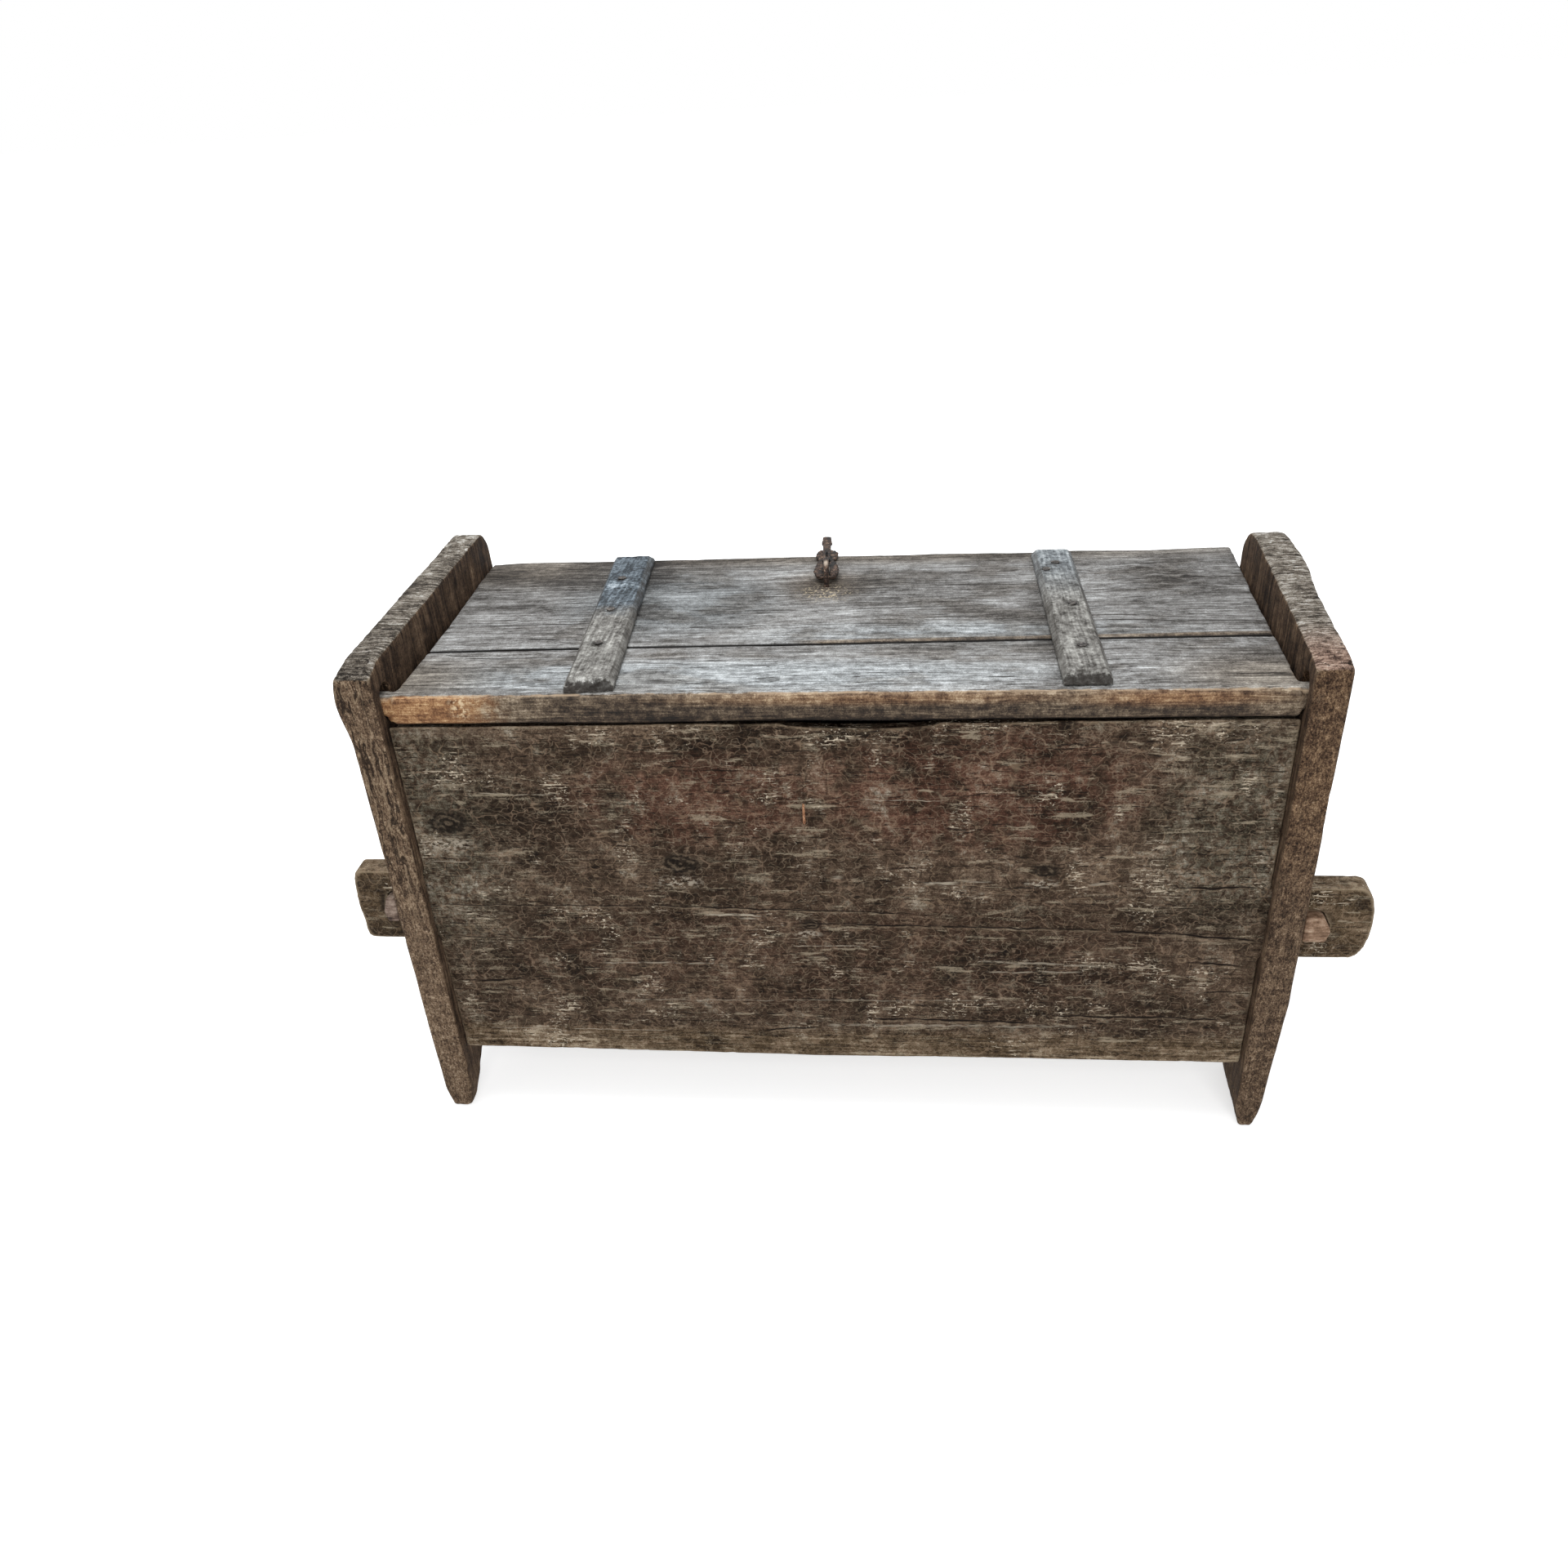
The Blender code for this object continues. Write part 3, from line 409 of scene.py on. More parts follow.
def lid_plank(own, no, edge):
    """Weathered top with raised grain, a soft near arris and a broken far corner."""
    x, y, z = own.T
    top = rise(no[:, 2], 0.5, 0.9)
    depth = grain(own, 0, 0.0010, 210, 101) * (0.45 + 0.55 * top)
    ripple = np.sin(x * 150 + y * 95 + 2.2 * layered(own * 11, 111, 2))
    corner = near(own, (0.385, 0.335, 0.612), (0.150, 0.120, 0.10))
    depth += top * corner * (0.5 + 0.5 * ripple) * 0.0016
    depth += lumps(own, (3, 9, 9), 121, 2, 0.0008)
    shift = np.zeros_like(own)
    # The far edge lies further back, the far corners further out, and the seam's arrises lower
    far = rise(y, 0.395, 0.428)
    corner = rise(-x, 0.450, 0.490)
    shift[:, 1] += far * (0.0062 - 0.0010 * layered(own * (14, 0, 0), 131, 3)) * (1 - 0.9 * corner)
    aside = rise(y, 0.15, 0.42)
    shift[:, 0] -= rise(-x, 0.44, 0.49) * aside * 0.0086
    outer = rise(y, 0.25, 0.36) * 0.0026 + rise(y, 0.385, 0.428) * 0.0052
    shift[:, 0] += rise(x, 0.44, 0.50) * outer
    shift[:, 2] += far * top * 0.0026 * gradient_noise(own * (7, 0, 0), 133)
    seam = np.abs(y - SEAM_Y - x * SEAM_SLOPE)
    shift[:, 2] -= (1 - rise(seam, 0, 0.0045)) * rise(z, 0.600, 0.606) * 0.0035
    return depth, NO_BORDER, shift


def rear_lid_plank(own, no, edge):
    """The hinge side of the lid, its near edge hanging lower; inside the sockets the pintles stay true."""
    x, y, z = own.T
    depth, border, shift = lid_plank(own, no, edge)
    body = 1 - rise(np.abs(x), 0.4978, 0.4988)
    nose = rise(-y, -0.012, 0) * rise(z, 0.604, 0.612)
    depth += nose * 0.0012 * (0.6 + 0.8 * layered(own * (9, 0, 0), 141, 3))
    under = (1 - rise(z, 0.584, 0.606)) * (1 - rise(y, 0.010, 0.030))
    bulge = near(own, (-0.215, 0, 0.59), (0.12, 0.05, 0.05))
    shift[:, 2] -= under * (0.0062 - 0.0020 * x
                            + 0.0006 * layered(own * (7, 0, 0), 143, 3) + 0.0016 * bulge)
    return depth * body, border, shift * body[:, None]


def batten(own, no, edge):
    """Worn strip with lengthwise grain and chewed ends."""
    _, y, _ = own.T
    depth = grain(own, 1, 0.0006, 240, 151) + lumps(own, 60, 161, 2, 0.0007)
    ends = np.maximum(rise(-y, -0.022, -0.008), rise(y, 0.405, 0.424))
    depth += ends * lumps(own, 130, 171, 2, 0.0026)
    return depth, NO_BORDER, NO_SHIFT


def plain_wood(own, no, edge):
    """Sawn plank."""
    return grain(own, 0, 0.0005, 200, 181), NO_BORDER, NO_SHIFT


def peg(own, no, edge):
    """Whittled peg."""
    depth = grain(own, 1, 0.0004, 300, 191) + lumps(own, 90, 193, 2, 0.0006)
    return depth, NO_BORDER, NO_SHIFT


def nail(own, no, edge):
    """A hammered nail, its head sunk nearly flush."""
    shift = np.zeros_like(own)
    top = own[:, 2] - (LID_TOP + 0.0141)
    shift[:, 2] = -np.clip(top, 0, None) * 0.35 - 0.0004
    return lumps(own, 260, 205, 2, 0.0003), NO_BORDER, shift


def forged(own, no, edge):
    """Hammered and rusted iron."""
    depth = np.clip(layered(own * 260, 201, 2) + 0.2, 0, 1) * 0.00035
    return depth, NO_BORDER, NO_SHIFT


def hasp_iron(own, no, edge):
    """The hasp's loops and end, hammered out thicker than their rod."""
    x, y, _ = own.T
    depth, border, _ = forged(own, no, edge)
    across = x - HASP_X + (y - HASP_Y) * HASP_SKEW
    loops = rise(np.abs(across), 0.0055, 0.0085)
    end = rise(y, HASP_Y + 0.126, HASP_Y + 0.130)
    uneven = 0.6 + 0.9 * layered(own * 170, 207, 2)
    inward = np.clip(-no[:, 0] * np.sign(across) * 1.6, 0, 1)
    depth -= (loops * np.where(no[:, 2] > 0.3, 0.0016, 0.0006) + end * 0.0006) * uneven
    shift = np.zeros_like(own)
    tail = rise(y, HASP_Y + 0.070, HASP_Y + 0.100)
    push = inward * np.maximum(loops, tail) * np.clip(np.abs(across) - 0.0050 + 0.0060 * tail, 0, None)
    shift[:, 0] = (end * 0.0012 - push) * np.sign(across)
    return depth, border, shift


# Materials

def linear(code):
    """A colour written as six digits, as on screen, turned into what the shader reads."""
    parts = (int(code[place:place + 2], 16) / 255 for place in (0, 2, 4))
    return tuple(part / 12.92 if part <= 0.04045 else ((part + 0.055)
                                                       / 1.055) ** 2.4 for part in parts) + (1.0,)


def add_node(tree, kind, inputs=(), **settings):
    """A node with its settings; each input is a number, or a socket to link."""
    made = tree.nodes.new(kind)
    for key, value in settings.items():
        setattr(made, key, value)
    for key, value in dict(inputs).items():
        if isinstance(value, bpy.types.NodeSocket):
            tree.links.new(value, made.inputs[key])
        else:
            made.inputs[key].default_value = value
    return made


class Paint:
    """Builds one material's nodes."""

    def __init__(self, name, gloss=0.2):
        self.material = bpy.data.materials.new(name)
        self.material.use_nodes = True
        self.tree = self.material.node_tree
        self.shader = self.tree.nodes["Principled BSDF"]
        self.shader.inputs["Specular IOR Level"].default_value = gloss
        place = self.node("ShaderNodeTexCoord").outputs["Object"]
        self.place = self.vector("SUBTRACT", place, tuple(ORIGIN))
        split = self.node("ShaderNodeSeparateXYZ", {0: self.place})
        self.x, self.y, self.z = split.outputs
        facing = self.node("ShaderNodeSeparateXYZ", {0: self.node("ShaderNodeTexCoord").outputs["Normal"]})
        self.nx, self.ny, self.nz = facing.outputs

    def node(self, kind, inputs=(), **settings):
        """A node of this material."""
        return add_node(self.tree, kind, inputs, **settings)

    def vector(self, operation, first, second):
        """A sum, product or the like of two vectors."""
        return self.node("ShaderNodeVectorMath", {0: first, 1: second}, operation=operation).outputs[0]

    def length(self, vector):
        """A vector's length."""
        return self.node("ShaderNodeVectorMath", {0: vector}, operation="LENGTH").outputs["Value"]

    def math(self, operation, first, second=0.0, third=0.0):
        """A sum, product or the like of numbers."""
        return self.node("ShaderNodeMath", {0: first, 1: second, 2: third}, operation=operation).outputs[0]

    def add(self, first, second):
        """Two numbers added."""
        return self.math("ADD", first, second)

    def times(self, *values):
        """Several numbers multiplied."""
        total = values[0]
        for value in values[1:]:
            total = self.math("MULTIPLY", total, value)
        return total

    def scaled(self, value, factor, plus):
        """A number times a factor, plus another."""
        return self.math("MULTIPLY_ADD", value, factor, plus)

    def off(self, value, centre=0.0):
        """How far a number is from a centre."""
        return self.math("ABSOLUTE", self.add(value, -centre) if centre else value)

    def most(self, *values):
        """The largest of several numbers."""
        largest = values[0]
        for value in values[1:]:
            largest = self.math("MAXIMUM", largest, value)
        return largest

    def rise(self, value, low, high, top=1.0):
        """0 at low, top at high, smooth between; low may be above high."""
        flip = low > high
        inputs = {0: value, 1: min(low, high), 2: max(low, high), 3: top if flip else 0.0,
                  4: 0.0 if flip else top}
        return self.node("ShaderNodeMapRange", inputs, interpolation_type="SMOOTHSTEP").outputs[0]

    def mix(self, share, first, second):
        """Two colours mixed; a colour may be given as its code on screen."""
        first, second = (linear(part) if isinstance(part, str) else part for part in (first, second))
        inputs = {0: share, 6: first, 7: second}
        return self.node("ShaderNodeMix", inputs, data_type="RGBA").outputs[2]

    def ramp(self, value, codes):
        """Colours at even steps of a number from 0 to 1, their codes in one string."""
        codes = codes.split()
        made = self.node("ShaderNodeValToRGB", {0: value})
        stops = made.color_ramp.elements
        for index in range(1, len(codes) - 1):
            stops.new(index / (len(codes) - 1))
        for stop, code in zip(stops, codes):
            stop.color = linear(code)
        return made.outputs[0]

    def tone(self, *parts):
        """Noises weighed together: 0.5 on average, darker below and paler above."""
        total = 0.5 - sum(weight for _, weight in parts) / 2
        for noise, weight in parts:
            total = self.math("MULTIPLY_ADD", noise, weight, total)
        return total

    def lift(self, tone, amount, *shares):
        """The tone made paler, or darker with an amount below 0, where all the shares are high."""
        return self.math("MULTIPLY_ADD", self.times(*shares), amount, tone)

    def coat(self, colour, *shares):
        """The paint's colour covered by another where all the shares are high."""
        self.colour = self.mix(self.times(*shares), self.colour, colour)

    def noise(self, scale, detail=2.0, rough=0.5, place=None):
        """Noise at the piece's own places, stretched where scale has three numbers."""
        scale = scale if isinstance(scale, tuple) else (scale, scale, scale)
        scaled = self.vector("MULTIPLY", place or self.place, scale)
        inputs = {"Vector": scaled, "Scale": 1.0, "Detail": detail, "Roughness": rough}
        return self.node("ShaderNodeTexNoise", inputs).outputs[0]

    def wavy(self, axis, amount=0.008, scale=5.0):
        """Places bent sideways to the grain, so that its lines wander."""
        bend = self.times(self.add(self.noise(scale, 2.0), -0.5), amount * 2)
        parts = {0: bend, 1: bend, 2: bend}
        parts[axis] = 0.0
        shift = self.node("ShaderNodeCombineXYZ", parts).outputs[0]
        return self.vector("ADD", self.place, shift)

    def pushed(self, scale, amount):
        """Places pushed about in all directions."""
        made = self.node("ShaderNodeTexNoise", {"Vector": self.place, "Scale": scale, "Detail": 3.0})
        push = self.vector("SUBTRACT", made.outputs["Color"], (0.5, 0.5, 0.5))
        return self.vector("ADD", self.place, self.vector("MULTIPLY", push, (amount, amount, amount)))

    def net(self, scale, place, thin):
        """Thin lines between scattered cells."""
        cells = self.node("ShaderNodeTexVoronoi", {"Vector": place, "Scale": scale},
                          feature="DISTANCE_TO_EDGE")
        return self.rise(cells.outputs["Distance"], thin, thin * 0.3)

    def streaks(self, axis, fine, long=4.0, detail=4.0, place=None):
        """Fine lines along an axis."""
        scale = [fine, fine, fine]
        scale[axis] = long
        return self.noise(tuple(scale), detail, 0.62, place)

    def spot(self, centre, reach, soft=0.6):
        """1 inside an ellipsoid, 0 outside; a reach of 9 leaves that direction open."""
        away = self.vector("SUBTRACT", self.place, centre)
        away = self.vector("DIVIDE", away, reach)
        return self.rise(self.length(away), 1.0 + soft / 2, 1.0 - soft)

    def on_face(self, *spots):
        """Spots across Y, the strongest counts: x, z, reach along x and z, softness, strength."""
        return self.most(*(self.times(self.spot((x, 0, z), (wide, 9, tall), *soft[:1]), *soft[1:])
                           for x, z, wide, tall, *soft in spots))

    def on_top(self, *spots):
        """Spots on the lid, the strongest counts: x, y, reach along x and y, softness, strength."""
        return self.most(*(self.times(self.spot((x, y, 0.61), (wide, long, 9), *soft[:1]), *soft[1:])
                           for x, y, wide, long, *soft in spots))

    def line(self, start, end, width, wander, up):
        """1 on a wandering line between two places (x, up), 0 beside it."""
        slope = (end[1] - start[1]) / (end[0] - start[0])
        level = self.math("MULTIPLY_ADD", self.x, slope, start[1] - slope * start[0])
        off = self.math("ABSOLUTE", self.math("SUBTRACT", self.add(up, wander), level))
        inside = self.times(self.rise(self.x, start[0], start[0] + 0.015),
                            self.rise(self.x, end[0], end[0] - 0.015))
        return self.times(self.rise(off, width * 1.5, width * 0.5), inside)

    def band(self, value, centre, wide, thin):
        """1 where a number is within thin of a centre, 0 beyond wide."""
        return self.rise(self.off(value, centre), wide, thin)

    def crevice_shade(self, colour, strength=0.85):
        """Painted shade in inner corners: they are covered by a dark colour."""
        self.coat(colour, self.rise(self.kept("edge"), -0.2, -0.8, strength))

    def kept(self, name):
        """A number that the mesh keeps per vertex."""
        return self.node("ShaderNodeAttribute", attribute_name=name).outputs["Fac"]

    def finish(self, height, roughness, relief):
        """Connect colour, roughness and fine relief."""
        self.tree.links.new(self.colour, self.shader.inputs["Base Color"])
        self.tree.links.new(roughness, self.shader.inputs["Roughness"])
        bump = self.node("ShaderNodeBump", {"Height": height, "Strength": 1.0, "Distance": relief})
        self.tree.links.new(bump.outputs[0], self.shader.inputs["Normal"])
        return self.material


def panel_wood(name, rear):
    """Dark hewn plank: net of worn ridges, flecks and grey bloom; on the rear also its own marks."""
    p = Paint(name, 0.08)
    bent = p.wavy(0, 0.007)
    streak = p.streaks(0, 260, 8, 5, bent)
    broad = p.streaks(0, 60, 3, 4, bent)
    thread = p.streaks(0, 620, 26, 3, bent)
    grit = p.noise(620, 4, 0.75)
    mottle = p.noise(110, 5, 0.75)
    patch = p.noise(26, 4, 0.6)
    blotch = p.noise(7, 4, 0.6)
    tone = p.tone((streak, 0.4), (broad, 0.35), (thread, 0.45), (grit, 1.1), (mottle, 1.25), (patch, 1.1),
                  (blotch, 1.3))
    tone = p.add(tone, -0.03)
    ragged = p.rise(patch, 0.35, 0.62)
    low = p.rise(p.scaled(blotch, 0.03, p.z), 0.160, 0.135)
    tone = p.lift(tone, 1, low, p.add(streak, -0.42))
    tone = p.lift(tone, 0.03, low)
    # Paler top arris: worn wood, and partly a painted highlight where the arris catches the light.
    arris = p.rise(p.scaled(patch, 0.010, p.add(p.z, p.times(p.x, -0.0036))), 0.562, 0.568)
    tone = p.lift(tone, 0.20, arris, p.most(p.rise(p.x, -0.08, -0.20), p.rise(p.x, 0.20, 0.34, 0.6)))
    tone = p.lift(tone, -0.08, p.rise(p.off(p.x, 0.04), 0.34, 0.20), p.rise(p.z, 0.535, 0.556))
    outside = p.rise(p.off(p.x), 0.520, 0.530)
    tone = p.lift(tone, 0.32, outside, p.rise(p.nz, 0.35, 0.70))
    tone = p.lift(tone, -0.04, outside)
    tone = p.lift(tone, -0.05, outside, p.rise(p.x, 0.1, -0.1))
    red, grey = 0.2, 0.3
    if rear:
        dark = p.on_face((-0.22, 0.545, 0.24, 0.030), (-0.37, 0.455, 0.11, 0.045), (0.10, 0.545, 0.13, 0.025),
                         (-0.02, 0.30, 0.45, 0.06, 0.9))
        tone = p.lift(tone, -0.16, dark, ragged)
        pale = p.on_face((-0.49, 0.33, 0.04, 0.12, 0.6, 0.4), (0.44, 0.47, 0.10, 0.08),
                         (-0.10, 0.30, 0.12, 0.03))
        tone = p.lift(tone, 0.10, pale, ragged)
        red = p.on_face((-0.15, 0.48, 0.17, 0.07), (0.16, 0.49, 0.22, 0.09), (0, 0.25, 0.5, 0.10, 0.6, 0.35))
        red = p.rise(p.times(red, p.add(ragged, 0.3)), 0, 1)
        grey = p.most(p.on_face((-0.48, 0.42, 0.10, 0.20), (0.45, 0.44, 0.10, 0.16),
                                (-0.24, 0.47, 0.03, 0.02)),
                      p.times(p.rise(patch, 0.52, 0.64), 0.7))
        grey = p.times(grey, p.add(1, p.times(outside, -0.8)), p.rise(mottle, 0.38, 0.60))
    brown = p.ramp(tone, "120c08 281d14 43352a 665546 9b8a76")
    reddish = p.ramp(tone, "140b07 301e15 4e352a 725646 a08976")
    greyish = p.ramp(tone, "131109 2a251c 4c463a 736c5e a59e90")
    yellowish = p.ramp(tone, "150e08 30251a 51422f 766450 a89880")
    p.colour = p.mix(red, brown, reddish)
    p.coat(greyish, grey)
    p.coat(yellowish, p.most(low, outside), 0.8)
    curves = p.noise((34, 34, 44), 1, 0.5)
    rings = p.noise((70, 70, 90), 1, 0.5)
    where = p.rise(blotch, 0.42, 0.56)
    p.coat("1a120c", p.band(curves, 0.560, 0.026, 0.006), 0.40, where)
    p.coat("8c7761", p.band(curves, 0.520, 0.012, 0.003), 0.45, where)
    p.coat("8b7a67", p.band(rings, 0.515, 0.024, 0.006), 0.38, p.rise(blotch, 0.60, 0.46))
    curled = p.pushed(30, 0.024)
    nets = p.times(p.net(50, p.vector("MULTIPLY", curled, (0.75, 1, 1)), 0.036),
                   p.rise(patch, 0.42, 0.56, 0.50))
    p.coat("86705d", nets, p.rise(mottle, 0.36, 0.50))
    nets = p.times(p.net(92, p.vector("MULTIPLY", curled, (0.80, 1, 1)), 0.045),
                   p.rise(patch, 0.52, 0.40, 0.26))
    p.coat("83755f", nets, p.rise(mottle, 0.40, 0.52))
    scraped = p.rise(p.noise((17, 90, 90), 4, 0.66, bent), 0.570, 0.610)
    scraped = p.times(scraped, p.rise(p.scaled(grit, 0.4, p.times(streak, 0.6)), 0.44, 0.56))
    p.coat("9d907b", scraped, 0.62)
    ridges = p.times(p.rise(p.scaled(mottle, 0.10, p.kept("border")), 0.085, 0.055), 0.16)
    p.coat("8b7a66", ridges)
    fleck = p.streaks(0, 480, 30, 2, p.pushed(40, 0.006))
    where = p.rise(p.noise(15, 4, 0.62), 0.54, 0.63)
    p.coat("bfb19c", p.rise(fleck, 0.60, 0.63), where, 0.9)
    p.coat("120c08", p.rise(fleck, 0.39, 0.35), 0.85)
    chips = p.times(p.rise(p.noise((230, 330, 330), 3, 0.6, p.pushed(90, 0.004)), 0.61, 0.64), where)
    p.coat("cbbea9", chips, 0.9)
    hairs = p.noise((110, 110, 110), 1, 0.5, p.pushed(60, 0.010))
    hairs = p.times(p.band(hairs, 0.50, 0.016, 0.005), p.rise(mottle, 0.50, 0.58))
    p.coat("ab9b85", hairs, where, 0.65)
    if rear:
        rear_lines(p)
    # Painted shade: dark spots round the pegs where they sit in the tenons.
    peg_shade = p.on_face((-0.5565, 0.326, 0.0110, 0.0210, 0.5), (0.5545, 0.312, 0.0190, 0.0200, 0.5))
    p.coat("130d09", peg_shade, 0.85)
    # Painted shade: the panel's top face just under the lid is painted nearly black, for the gap between lid
    # and panel.
    gap_shade = p.times(p.rise(p.nz, 0.5, 0.8), p.rise(p.z, 0.540, 0.550), p.rise(p.y, 0.0025, 0.0050))
    p.coat("0c0906", gap_shade, p.rise(p.y, 0.018, 0.010))
    edge = p.kept("edge")
    worn_edge = p.times(p.rise(edge, 0.25, 0.8), p.most(p.rise(patch, 0.35, 0.6, 0.5), p.times(outside, 0.8)))
    p.coat("97866f", worn_edge)
    p.crevice_shade("120d09")
    height = p.tone((streak, 0.4), (broad, 0.4), (fleck, 0.4), (mottle, 1), (grit, 0.4))
    return p.finish(height, p.scaled(patch, 0.3, 0.6), 0.0018)


def rear_lines(p):
    """The rear panel's own knots, pale marks and cracks."""
    wander = p.scaled(p.noise((26, 26, 0), 3), 0.008, -0.004)
    torn = p.rise(p.streaks(0, 300, 60, 3), 0.38, 0.55)
    face = p.rise(p.y, 0.016, 0.012)
    for x, z, reach in KNOTS:
        knot(p, (x, 0, z), reach, face)
    marks = p.most(*(p.times(p.line(start, end, width * 0.7, wander, p.z), strength)
                     for start, end, width, strength in REAR_MARKS))
    p.coat("b0a593", marks, torn, face)
    cracks = p.most(*(p.line(start, end, width, wander, p.z) for start, end, width, _ in REAR_CRACKS))
    lips = p.most(*(p.line((x0, z0 - width * 2.4), (x1, z1 - width * 2.4), width * 1.4, wander, p.z)
                    for (x0, z0), (x1, z1), width, _ in REAR_CRACKS))
    p.coat("8f7e6a", lips, face, torn, 0.35)
    p.coat("1b1410", cracks, face)


def knot(p, centre, reach, face):
    """A dark knot with rings, pale torn grain beneath it."""
    away = p.vector("SUBTRACT", p.place, centre)
    away = p.vector("MULTIPLY", away, (0.66 / reach, 0, 1 / reach))
    length = p.scaled(p.noise(55, 4, 0.7), 1.1, p.add(p.length(away), -0.55))
    rings = p.rise(p.math("SINE", p.scaled(p.noise(170, 4, 0.7), 4, p.times(length, 15))), -0.6, 0.9)
    dark = p.mix(p.times(rings, p.rise(p.noise(90, 3, 0.6), 0.40, 0.60)), "15100c", "5d5143")
    p.coat(dark, p.rise(length, 1.25, 0.45, 0.85), face)
    under = p.spot((centre[0] - 0.004, 0, centre[2] - reach * 1.5), (reach * 1.7, 9, reach * 0.55))
    under = p.times(under, p.rise(p.noise((160, 300, 300), 3, 0.6), 0.48, 0.56))
    p.coat("a79c8c", under, face, 0.8)


def board_wood():
    """End boards: upright grain, silver top edge, brown inner faces darkened near the top as painted shade,
    worm-eaten narrow faces.
    """
    p = Paint("end_board_wood", 0.12)
    bent = p.wavy(2, 0.010)
    streak = p.streaks(2, 300, 16, 5, bent)
    broad = p.streaks(2, 70, 5, 4, bent)
    grit = p.noise(620, 4, 0.75)
    mottle = p.noise(95, 5, 0.75)
    patch = p.noise(20, 4, 0.65)
    runs = p.noise((520, 520, 200), 4, 0.7, p.pushed(30, 0.012))
    right = p.rise(p.x, -0.1, 0.1)
    left = p.rise(p.x, 0.1, -0.1)
    narrow = p.rise(p.off(p.ny), 0.45, 0.8)
    inner = p.rise(p.off(p.nx), 0.6, 0.9)
    top = p.times(p.rise(p.nz, 0.40, 0.75), p.rise(p.z, 0.55, 0.60))
    side = p.tone((streak, 1), (broad, 0.8), (grit, 0.9), (mottle, 0.8), (patch, 0.6))
    # Painted shade: inner faces darker near the top, as if turned away from the light.
    side = p.lift(side, -0.13, inner, p.rise(p.z, 0.50, 0.60))
    bored = p.tone((grit, 1.5), (mottle, 1.2), (runs, 1.3), (streak, 0.4))
    side = p.scaled(p.math("SUBTRACT", bored, side), narrow, side)
    side = p.lift(side, 0.06, narrow, p.rise(p.z, 0.45, 0.20))
    side = p.lift(side, 0.04, narrow, left)
    side = p.lift(side, -0.06, narrow, right)
    splits = p.noise((75, 75, 9), 2, 0.5, p.pushed(40, 0.010))
    left_top = p.times(left, p.rise(p.z, 0.20, 0.45))
    deep = p.times(p.band(splits, 0.47, 0.023, 0.008), narrow)
    high = p.times(p.band(splits, 0.53, 0.018, 0.006), narrow, p.most(left_top, 0.15))
    p.colour = p.ramp(side, "140d09 30241b 594738 846e58 b5a28b")
    shade = p.times(right, narrow, p.rise(p.z, 0.30, 0.50))
    p.coat(p.ramp(side, "180f09 3a281c 674f3b 927658 bba184"), shade, 0.6)
    cross = p.noise((60, 330, 60), 5, 0.7, p.pushed(20, 0.010))
    flat = p.tone((cross, 2.6), (grit, 1.3), (mottle, 1.2), (patch, 0.8))
    pale = p.times(p.rise(p.y, 0.22, 0.36), p.rise(p.noise((90, 60, 60), 3, 0.7), 0.50, 0.62))
    flat = p.lift(flat, 0.30, pale)
    flat = p.lift(flat, -0.09, left)
    flat = p.lift(flat, -0.06, p.rise(p.y, 0.045, 0.015))
    silver = p.ramp(flat, "211d1a 433d36 736b61 9a948a c5c3be")
    ruddy = p.ramp(flat, "241a16 4c3a32 7f685b a58c7c c6b3a4")
    silver = p.mix(p.times(p.rise(p.y, 0.10, 0), right), silver, ruddy)
    p.coat("a08c73", high, 0.5)
    p.coat("1a120c", deep, p.most(p.times(left_top, 0.80), 0.18))
    p.coat(silver, top)
    pits = p.times(p.rise(p.noise(150, 3, 0.6), 0.42, 0.34), p.rise(p.y, 0.050, 0.030))
    p.coat("1e1713", pits, top, 0.9)
    p.coat("241b15", p.rise(runs, 0.37, 0.31), p.times(narrow, 0.6))
    edge = p.kept("edge")
    worn_edge = p.times(p.rise(edge, 0.35, 1), p.rise(mottle, 0.40, 0.60, 0.65))
    p.coat("a3947f", worn_edge)
    p.crevice_shade("1a1410")
    height = p.tone((streak, 0.6), (broad, 0.5), (runs, 0.9), (cross, 0.4))
    return p.finish(height, p.scaled(patch, 0.25, 0.65), 0.0022)


# Cracks in the lid's top: start, end as (x, y), half width
LID_CRACKS = (
    ((0.308, 0.1955), (0.500, 0.1830), 0.0009), ((-0.381, 0.1602), (-0.329, 0.1584), 0.0016),
    ((0.166, 0.0416), (0.215, 0.0404), 0.0010), ((0.420, 0.0440), (0.500, 0.0409), 0.0010),
    ((-0.470, 0.205), (-0.300, 0.209), 0.0008), ((0.020, 0.240), (0.190, 0.247), 0.0007),
    ((-0.140, 0.190), (0.080, 0.194), 0.0008), ((-0.440, 0.108), (-0.230, 0.105), 0.0008),
)


